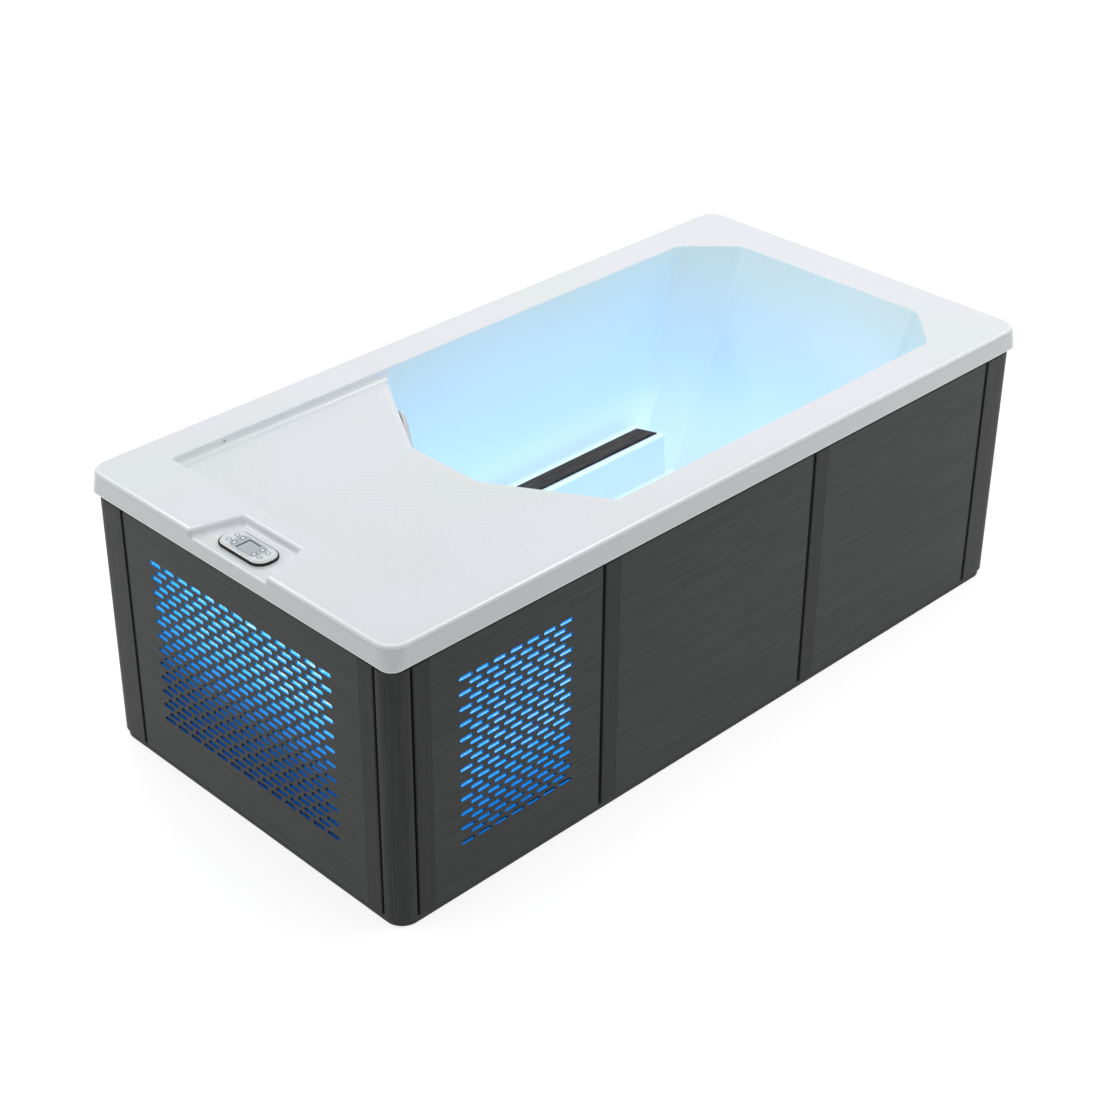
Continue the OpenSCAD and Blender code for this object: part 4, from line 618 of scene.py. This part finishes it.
points, faces, edge_loops = [], [], []
for grow in (0, shell_wall):
    for side in (1, -1):
        part, part_faces, loop = half_shell(side, grow)
        start = sum(len(p) for p in points)
        points.append(part)
        edge_loops.append(loop + start)
        for name, corners in part_faces:
            corners = [c + start for c in corners]
            faces.append((name if grow == 0 else "back", corners if grow == 0 else corners[::-1]))
for outer, inner, flip in ((edge_loops[0], edge_loops[2], 1), (edge_loops[1], edge_loops[3], -1)):
    for i in range(len(outer) - 1):
        faces.append(("trim", [outer[i], inner[i], inner[i + 1], outer[i + 1]][::flip]))
points = np.concatenate(points)
_, first, welded = np.unique(np.round(points, 3), axis=0, return_index=True, return_inverse=True)
shell_mesh = bpy.data.meshes.new("acrylic_shell_dressed")
welded = welded.ravel().tolist()
shell_mesh.from_pydata(points[first] / 1000, [], [[welded[c] for c in corners] for _, corners in faces])
edge_widest = 26  # mm, at a full bevel weight
side_names = {}
for polygon, (name, _) in zip(shell_mesh.polygons, faces):
    for key in polygon.edge_keys:
        side_names.setdefault(key, []).append(name)
pairs = {frozenset(pair.split()): radius for radius, names in EDGES.items() for pair in names.split(", ")}
weights = np.array([pairs.get(frozenset(side_names.get(tuple(sorted(edge.vertices)), ())), 0)
                    for edge in shell_mesh.edges]) / edge_widest
shell_mesh.attributes.new("bevel_weight_edge", "FLOAT", "EDGE").data.foreach_set("value", weights)
shell_mesh.shade_smooth()

# Cast acrylic: glossy, white at the rim. In the basin a painted blue light tints it, in its colour and its
# emission, stronger towards the floor, and painted light makes upward faces such as the ledges' tops paler. The
# deck has a moulded anti-slip net of 8 mm diamonds.
acrylic, tree, shader = finish("cast_white_acrylic", Roughness=0.22, IOR=1.49, Coat_Weight=0.3,
                               Coat_Roughness=0.06)
place = add(tree, "TexCoord").outputs["Object"]
x, y, z = add(tree, "SeparateXYZ", [place]).outputs
across = add(tree, "Math ABSOLUTE", [y])
folded = add(tree, "CombineXYZ", (x, across))
past_corner = add(tree, "VectorMath DOT_PRODUCT", (folded, (-0.8552, 0.5183, 0))).outputs["Value"]
# The basin begins at the deck's edges, softly above the deck, and ends below the rim
corner_place = 0.404
soft_width = add(tree, "MapRange", (z, 0.671, 0.678, 0.0025, 0.030))
soft_start = add(tree, "Math ADD", (corner_place, soft_width))
soft_end = add(tree, "Math SUBTRACT", (corner_place, soft_width))
inside = add(tree, "MapRange", (past_corner, soft_start, soft_end), interpolation_type="SMOOTHSTEP")
for value, start, end in ((x, -0.4135, -0.4085), (z, 0.6948, 0.6915)):
    share = add(tree, "MapRange", (value, start, end), interpolation_type="SMOOTHSTEP")
    inside = add(tree, "Math MULTIPLY", (inside, share))
for value, limit in ((across, 0.45), (x, 0.94)):
    share = add(tree, "Math LESS_THAN", (value, limit))
    inside = add(tree, "Math MULTIPLY", (inside, share))
drift = add(tree, "TexNoise", {"Vector": place, "Scale": 2.2, "Detail": 1.0})
wander = add(tree, "Math MULTIPLY_ADD", (drift, 0.16, z))
height = add(tree, "MapRange", (wander, 0.21, 0.78))
painted_blue_light = add(tree, "ValToRGB", [height], ((0, "#D8E9FF"), (0.45, "#CBE9FF"), (1, "#C7DBDF")))
normal = add(tree, "SeparateXYZ", [add(tree, "NewGeometry").outputs["Normal"]]).outputs
painted_top_light = add(tree, "MapRange", (normal["Z"], 0.6, 1.0, 0, 0.6))
painted_light_tint = add(tree, "Mix", {0: painted_top_light, 6: painted_blue_light, 7: "#E2F7FF"}, data_type="RGBA").outputs[2]
white_tone = add(tree, "MapRange", (drift, 0.3, 0.7))
rim_tone = add(tree, "Mix", {0: white_tone, 6: "#E9EAF2", 7: "#E4EAEA"}, data_type="RGBA").outputs[2]
colour = add(tree, "Mix", {0: inside, 6: rim_tone, 7: painted_light_tint}, data_type="RGBA").outputs[2]
# Painted light: the lower walls glow more, as do the side walls just above the ledges, and the ledges' rounded
# edges get a nearly white painted highlight
painted_low_glow = add(tree, "MapRange", (z, 0.44, 0.25, 0.18, 0.27), interpolation_type="SMOOTHSTEP")
behind = add(tree, "MapRange", (z, 0.38, 0.255, 0, 0.15), interpolation_type="SMOOTHSTEP")
by_wall = add(tree, "Math GREATER_THAN", (across, 0.342))
behind = add(tree, "Math MULTIPLY", (behind, by_wall))
painted_low_glow = add(tree, "Math ADD", (behind, painted_low_glow))
rounded = add(tree, "Math COMPARE", (normal["Z"], 0.7, 0.27))
at_ledge = add(tree, "Math COMPARE", (z, 0.246, 0.005))
in_front = add(tree, "Math LESS_THAN", (across, 0.30))
for share in (at_ledge, in_front):
    rounded = add(tree, "Math MULTIPLY", (rounded, share))
glow = add(tree, "Math MULTIPLY_ADD", (rounded, 0.2, painted_low_glow))
# Painted shade on the ledges' front walls: their painted glow is lower
upright = add(tree, "Math ABSOLUTE", [normal["Y"]])
upright = add(tree, "MapRange", (upright, 0.80, 0.96, 0, -0.16))
upright = add(tree, "Math MULTIPLY", (upright, in_front))
glow = add(tree, "Math ADD", (upright, glow))
glow = add(tree, "Math MULTIPLY", (inside, glow))
# Anti-slip net, 22 mm in from the deck's walls: moulded diamonds of 4 mm, drawn at 8 mm so that they show
net_spacing = 0.0085
waves = []
for operation in ("ADD", "SUBTRACT"):
    line = add(tree, "Math " + operation, (x, y))
    line = add(tree, "Math MULTIPLY", (line, 2 * math.pi / net_spacing))
    waves.append(add(tree, "Math SINE", [line]))
net = add(tree, "Math MAXIMUM", waves)
by_corner = add(tree, "MapRange", (past_corner, 0.420, 0.424))
by_end = add(tree, "MapRange", (x, -0.424, -0.428))
on_deck = add(tree, "Math MAXIMUM", (by_corner, by_end))
at_level = add(tree, "Math COMPARE", (z, 0.670, 0.0005))
by_side = add(tree, "MapRange", (across, 0.372, 0.368))
by_recess = add(tree, "MapRange", (x, -0.824, -0.820))
for share in (by_side, by_recess, at_level):
    on_deck = add(tree, "Math MULTIPLY", (on_deck, share))
net = add(tree, "Math MULTIPLY", (net, on_deck))
# Painted shade makes the net's hollows a little darker and the lip's face greyer than the rim, and painted
# highlights make its cut lower edge and its rolled upper edge a little lighter
painted_hollow_shade = add(tree, "MapRange", (net, 0, 1, 1, 0.98))
colour = add(tree, "Mix", {0: 1.0, 6: colour, 7: painted_hollow_shade}, data_type="RGBA", blend_type="MULTIPLY").outputs[2]
far_out = add(tree, "Math ABSOLUTE", [x])


def past(limit_x, limit_y):
    """Where the shell lies further out than either limit: 1 there, and 0 within both."""
    both = [add(tree, "Math GREATER_THAN", pair) for pair in ((far_out, limit_x), (across, limit_y))]
    return add(tree, "Math MAXIMUM", both)


outside = past(0.97, 0.46)
painted_cut_edge_highlight = add(tree, "Math LESS_THAN", (z, 0.6428))
rolled = add(tree, "Math COMPARE", (z, 0.6939, 0.0010))
edges = add(tree, "Math MAXIMUM", (painted_cut_edge_highlight, rolled))
for share, tone in ((add(tree, "MapRange", (z, 0.690, 0.686)), "#E1E5E5"), (edges, "#F8FAFA")):
    share = add(tree, "Math MULTIPLY", (share, outside))
    colour = add(tree, "Mix", {0: share, 6: colour, 7: tone}, data_type="RGBA").outputs[2]
# Parting line round the lip, 10 mm under the top: a step of under a millimetre where the edge is rolled over
step_down = add(tree, "MapRange", (z, 0.6842, 0.6862), interpolation_type="SMOOTHSTEP")
step_down = add(tree, "Math MULTIPLY", (step_down, past(0.99, 0.48)))
heights = add(tree, "Math MULTIPLY_ADD", (net, 0.35, step_down))
relief = add(tree, "Bump", {"Height": heights, "Strength": 0.7, "Distance": 0.0010})
feed(shader, {"Base Color": colour, "Emission Color": painted_light_tint, "Emission Strength": glow, "Normal": relief})

shell = show("acrylic_shell_dressed", shell_mesh, acrylic, "acrylic", "acrylic_shell")
rounding = shell.modifiers.new("drawn_edges", "BEVEL")
rounding.limit_method = "WEIGHT"
rounding.width = edge_widest / 1000
rounding.segments = 6
rounding.use_clamp_overlap = False
rounding.loop_slide = True
trim = shell.modifiers.new("trimmed_edge", "BEVEL")
trim.limit_method = "ANGLE"
trim.angle_limit = math.radians(80)
trim.width = 0.0012
trim.segments = 2
even = shell.modifiers.new("even_faces", "WEIGHTED_NORMAL")
even.keep_sharp = True


# Ledge strips: dark grey extruded board with a brushed upper face, on a thin black bed. The bed shows as a fine
# black line round each strip and stands in for the strips' shadow: painted shade.
def ledge_strips(name, inset, low, high, edge):
    """One mesh of both strips, drawn in by inset: the head ends are cut along the ledges' skew."""
    start, front, back = -85 + inset, 290.619 + inset, 344.619 - inset
    head = ledge_head - 15 - inset
    corners = np.array([(start, front), (head - ledge_skew * (front - ledge_front), front),
                        (head - ledge_skew * (back - ledge_front), back), (start, back)])
    return joined(name, [sheet_cut([(corners * (1, side))[::side]], low, high, edge) for side in (1, -1)])


strip_board = grained("brushed_dark_board_strip", "#39342F", "#5D554E", (14, 190, 190), 0.7, 0.5,
                      Specular_IOR_Level=0.1)
bed_high, strip_inset, strip_low, strip_high = ledge_top + 3.2, 3.0, ledge_top + 1, ledge_top + 5
show("ledge_shadow_beds", ledge_strips("ledge_shadow_beds", 0, ledge_top, bed_high, 0.6), rubber, "strip")
strips = ledge_strips("ledge_boards", strip_inset, strip_low, strip_high, 1.0)
show("ledge_boards", strips, strip_board, "strip", "ledge_strips")


# Filter cap on the leaning wall beside the deck: moulded light grey plastic with a grip rib.
# It is round, so it is a profile turned about the wall's own axis; the rib is a flat piece laid along the wall.
def banded(points, rows, closing=()):
    """Mesh of rows of points, each row a closed loop: a four-cornered face from each pair of neighbours to the
    pair below it in the next row, and the closing faces. The points are in mm."""
    count = len(points) // rows
    i, j = np.meshgrid(np.arange(rows - 1), np.arange(count), indexing="ij")
    after = (j + 1) % count
    quads = np.stack([i * count + j, i * count + after, (i + 1) * count + after, (i + 1) * count + j], -1)
    mesh = bpy.data.meshes.new("banded")
    mesh.from_pydata(points / 1000, [], [*quads.reshape(-1, 4).tolist(), *closing])
    return mesh


def turned(profile, directions, place, steps=64):
    """Surface of a profile of radius and height pairs, in mm, turned a full circle: the radius times the
    cosine and sine of the angle, and the height along the axis. Ends on the axis close in a fan."""
    profile = np.array(profile, float)
    angle = np.linspace(0, 2 * math.pi, steps, endpoint=False)
    radius, height = profile[:, 0][:, None], profile[:, 1][:, None]
    flat = np.stack([radius * np.cos(angle), radius * np.sin(angle), height + 0 * angle], -1)
    return merged(banded(flat.reshape(-1, 3) @ directions + place, len(profile)), 0.000002, 40)


def rounded_profile(corners, radius, steps=5):
    """Profile through corners with a round of one radius at each inner corner: points of a quadratic
    curve between the two places where the round starts, one radius before and after the corner."""
    corners = np.array(corners, float)
    at = corners[1:-1]
    back, ahead = corners[:-2] - at, corners[2:] - at
    back_length, ahead_length = (np.linalg.norm(side, axis=1)[:, None] for side in (back, ahead))
    limit = np.minimum(radius, 0.45 * np.minimum(back_length, ahead_length))[:, None]
    back, ahead = (back / back_length)[:, None], (ahead / ahead_length)[:, None]
    t = np.linspace(0, 1, steps)[None, :, None]
    curve = at[:, None] + limit * (back * (1 - t) ** 2 + ahead * t ** 2)
    return np.concatenate([corners[:1], curve.reshape(-1, 2), corners[-1:]])


grey_cap = grained("moulded_light_grey_abs", "#C9CACA", "#D6D6D4", 200, 0.34, 0.12)
white_abs = grained("moulded_white_abs", "#D6DADC", "#E2E5E7", 200, 0.3, 0.12)
# Three directions on the leaning wall beside the deck: level, up along it, and out of it into the basin
turn, lean = math.radians(DECK_WALLS["deck_corner"][0]), math.atan2(32, deck_depth)
out = np.array([-math.cos(turn) * math.cos(lean), -math.sin(turn) * math.cos(lean), math.sin(lean)])
level = np.array([-math.sin(turn), math.cos(turn), 0])
filter_axes = np.array([level, np.cross(out, level), out])
filter_place = np.array([-322.316, 245.929, 585])
cap_profile = [(0, 17.6), (48, 17.3), (66, 15.5), (74, 12), (77.5, 7), (78, 3.3), (70, 3.3), (60, 7),
               (48, 8), (48, -15), (44, -15), (44, 12), (0, 12)]
cap = turned(rounded_profile(cap_profile, 3), filter_axes, filter_place, 96)
show("filter_cap_dressed", cap, grey_cap, "grey_cap", "filter_cap", body="filter_lid")
grip_outline = np.concatenate([polygon_arc((40, 0), 7, -90, 90, 9), polygon_arc((-40, 0), 7, 90, 270, 9)])
grip = sheet_cut([grip_outline], 15, 22, 1.2, filter_axes)
grip.vertices.foreach_set("co", (read(grip.vertices, "co") + filter_place / 1000).ravel())
show("filter_cap_grip", grip, grey_cap, "grey_cap", body="filter_lid")

# Weep hole of the deck's drain channel: a moulded eyelet in the recess's rear wall. Its bore is a black disc 5
# mm wide that stands in for the hole's shade: painted shade.
weep_height = 682.5
side_lean = math.atan2(50, wall_depth)
weep_axes = np.array([[1, 0, 0], [0, -math.sin(side_lean), -math.cos(side_lean)],
                      [0, -math.cos(side_lean), math.sin(side_lean)]])
weep_place = np.array([-708, 397 - (tub_top - weep_height) * math.tan(side_lean), weep_height])
eyelet_profile = rounded_profile([(2.6, 0.15), (2.8, 1.0), (5.4, 1.0), (6.6, 0.05)], 0.8)
eyelet = turned(eyelet_profile, weep_axes, weep_place, 32)
show("weep_eyelet", eyelet, white_abs, "acrylic")
show("weep_bore_shade", turned([(0, 0.2), (2.8, 0.2)], weep_axes, weep_place, 32), rubber, "black_plastic")


# Keypad: a glossy moulded bezel on a black gasket base, with a printed overlay, a display and eight buttons.
# Base and bezel are screwed from below through the notch's floor.
pad_middle = (-949, 3)
pad_half_x, pad_half_y, pad_corner = 33, 74, 28


def pad_outline(inset):
    """The keypad's rounded outline, drawn in by inset all round."""
    return round_rectangle(pad_half_x - inset, pad_half_y - inset, pad_corner - inset, 13) + pad_middle


def pad_box(half_x, half_y, radius=0.8):
    """Outline of a small rectangle round the keypad's middle."""
    return round_rectangle(half_x, half_y, radius, 5) + pad_middle


gloss_white = grained("glossy_white_abs", "#F0F2F3", "#F8F9FA", 200, 0.14, 0.05)
printed_grey = grained("screen_printed_grey", "#AAB1B5", "#B8BFC3", 400, 0.3, 0.1)
ring_grey = grained("printed_button_ring", "#3E4448", "#555B5F", 400, 0.3, 0.1)
overlay_film = grained("printed_polyester_film", "#DCE1E5", "#E6EAED", 300, 0.25, 0.1)
glass, tree, shader = finish("lcd_behind_polycarbonate", Roughness=0.16, IOR=1.49)
place = add(tree, "TexCoord").outputs["Object"]
cells = add(tree, "TexNoise", {"Vector": place, "Scale": 70.0, "Detail": 1.0})
feed(shader, {"Base Color": add(tree, "ValToRGB", [cells], ((0, "#B0B7BA"), (1, "#BEC4C7")))})

flange_reach, flange_low, flange_high = 3.4, 677.1, 678.4
# The gasket is the keypad's own black base, grown 1.5 mm past the outline so that its black band also stands in
# for the shadow under the bezel: partly painted shade.
gasket_reach, gasket_low, gasket_high = 1.5, 678.2, 683.9
flange = sheet_cut([pad_outline(-flange_reach)], flange_low, flange_high, 0.4)
show("keypad_flange", flange, gloss_white, "bezel")
gasket = sheet_cut([pad_outline(-gasket_reach)], gasket_low, gasket_high, 0.6)
show("keypad_gasket", gasket, rubber, "black_plastic", "keypad_base")
bezel_profile = [(2.6, 683.3), (1.7, 683.6), (1.4, 684.4), (1.7, 685.3), (2.5, 686.1), (3.8, 686.5),
                 (5.2, 686.6), (5.4, 684.6)]


def carried(profile, outline):
    """Surface of a profile of inset and height pairs carried round an outline: row by row, the outline drawn in
    by the inset at that height. One face closes each end."""
    count = len(outline(0))
    rows = [np.column_stack([outline(inset), np.full(count, height)]) for inset, height in profile]
    last = (len(rows) - 1) * count
    closing = [list(range(last, last + count)), list(range(count))[::-1]]
    return merged(banded(np.concatenate(rows), len(rows), closing), 0.000002, 50)


show("keypad_bezel_dressed", carried(bezel_profile, pad_outline), gloss_white, "bezel", "keypad_bezel")
screen_x, screen_y, screen_shift = 19, 18.5, (-1.0, -1.3)
ring_inner, ring_outer, ring_rise = 4.75, 6.0, 0.12
overlay_inset, overlay_low, overlay_high = 4.6, 686.4, 687.0
print_x, print_y, print_corner, print_rise = 24, 43, 15, 0.06
button_middles = []
for n in range(1, 9):
    cap_low, cap_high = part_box(f"button_{n}")
    button_middles.append(np.array([(cap_low.x + cap_high.x) / 2, (cap_low.y + cap_high.y) / 2, 0]) * 1000)
button_holes = [polygon_arc(middle, ring_inner, 0, 345, 24) for middle in button_middles]
overlay = sheet_cut([pad_outline(overlay_inset), pad_box(screen_x, screen_y), *button_holes], overlay_low,
                    overlay_high, 0.12)
show("keypad_overlay_dressed", overlay, overlay_film, "overlay", "keypad_overlay")
# A dark ring between the bezel and the overlay stands in for the shadow in the gap between them: painted shade.
joint_low, joint_high = 686.3, 686.7
joint = sheet_cut([pad_outline(3.9), pad_outline(4.7)], joint_low, joint_high, 0.05)
show("keypad_gap_shade", joint, ring_grey, "bezel")
inner_holes = [hole for hole in button_holes if abs(hole[:, 1].mean() - pad_middle[1]) < print_y]
print_outlines = [pad_box(print_x, print_y, print_corner), pad_box(screen_x + 0.2, screen_y + 0.2),
                  *inner_holes]
print_zone = sheet_cut(print_outlines, overlay_high - 0.02, overlay_high + print_rise, 0.02)
show("keypad_print", print_zone, printed_grey, "overlay")
# The display lies deeper, in a black frame that shows most on its rear and inner sides; there it stands in for
# the recess's shade, so it is partly painted shade
frame_low, frame_high, glass_low, glass_high = 685.2, 686.6, 685.0, 686.3
frame_hole = pad_box(screen_x - 1.7, screen_y - 1.9, 0.4) + screen_shift
frame_edge = sheet_cut([pad_box(screen_x - 0.1, screen_y - 0.1), frame_hole], frame_low, frame_high, 0.1)
show("display_shade_frame", frame_edge, rubber, "black_plastic")
screen = sheet_cut([pad_box(screen_x - 1.6, screen_y - 1.8, 0.4) + screen_shift], glass_low, glass_high, 0.1)
show("display_glass", screen, glass, "window", "display_window")

# Buttons: domed caps of glossy white plastic, 9 mm wide, with a raised rim of film and a printed grey ring
dome_profile = [(0, 687.85), (1.4, 687.8), (2.6, 687.62), (2.7, 687.6), (3.9, 687.25), (4.0, 687.2),
                (4.4, 686.6), (4.4, 686.0), (0, 686.0)]
dome_radius, film_low = 2.7, 686.8
ring_meshes = []
for n, middle in enumerate(button_middles, 1):
    rings = [polygon_arc(middle, radius, 0, 350, 36) for radius in (ring_outer, ring_inner)]
    ring_meshes.append(sheet_cut(rings, overlay_high, overlay_high + ring_rise, 0.03))
    dome = turned(dome_profile, np.eye(3), middle, 28)
    show(f"button_{n}_cap", dome, gloss_white, "button", f"button_{n}", body=f"button_{n}")
    dome.materials.append(overlay_film)
    middles = read(dome.polygons, "center") * 1000
    spread = np.linalg.norm(middles[:, :2] - middle[:2], axis=1)
    film = (spread > dome_radius) & (middles[:, 2] > film_low)
    dome.polygons.foreach_set("material_index", film.astype(np.int32))
show("keypad_rings", joined("keypad_rings", ring_meshes), ring_grey, "overlay")

# Parts that keep their solid shape: keypad board, niche, light, jet, suction grille, drain and valve.
# Moulded ABS in black or white with a fine 3 mm ripple, a galvanised ball, and a handle dipped in red vinyl.
dress(black_abs, "keypad_board", "service_niche")
dress(white_abs, "suction_fitting", "jet_body", "jet_ball", "basin_light", "drain_body")
dress(galvanised, "drain_ball")
dress(grained("dipped_red_vinyl", "#8E1E20", "#A8262A", 200, 0.4, 0.2), "drain_handle")
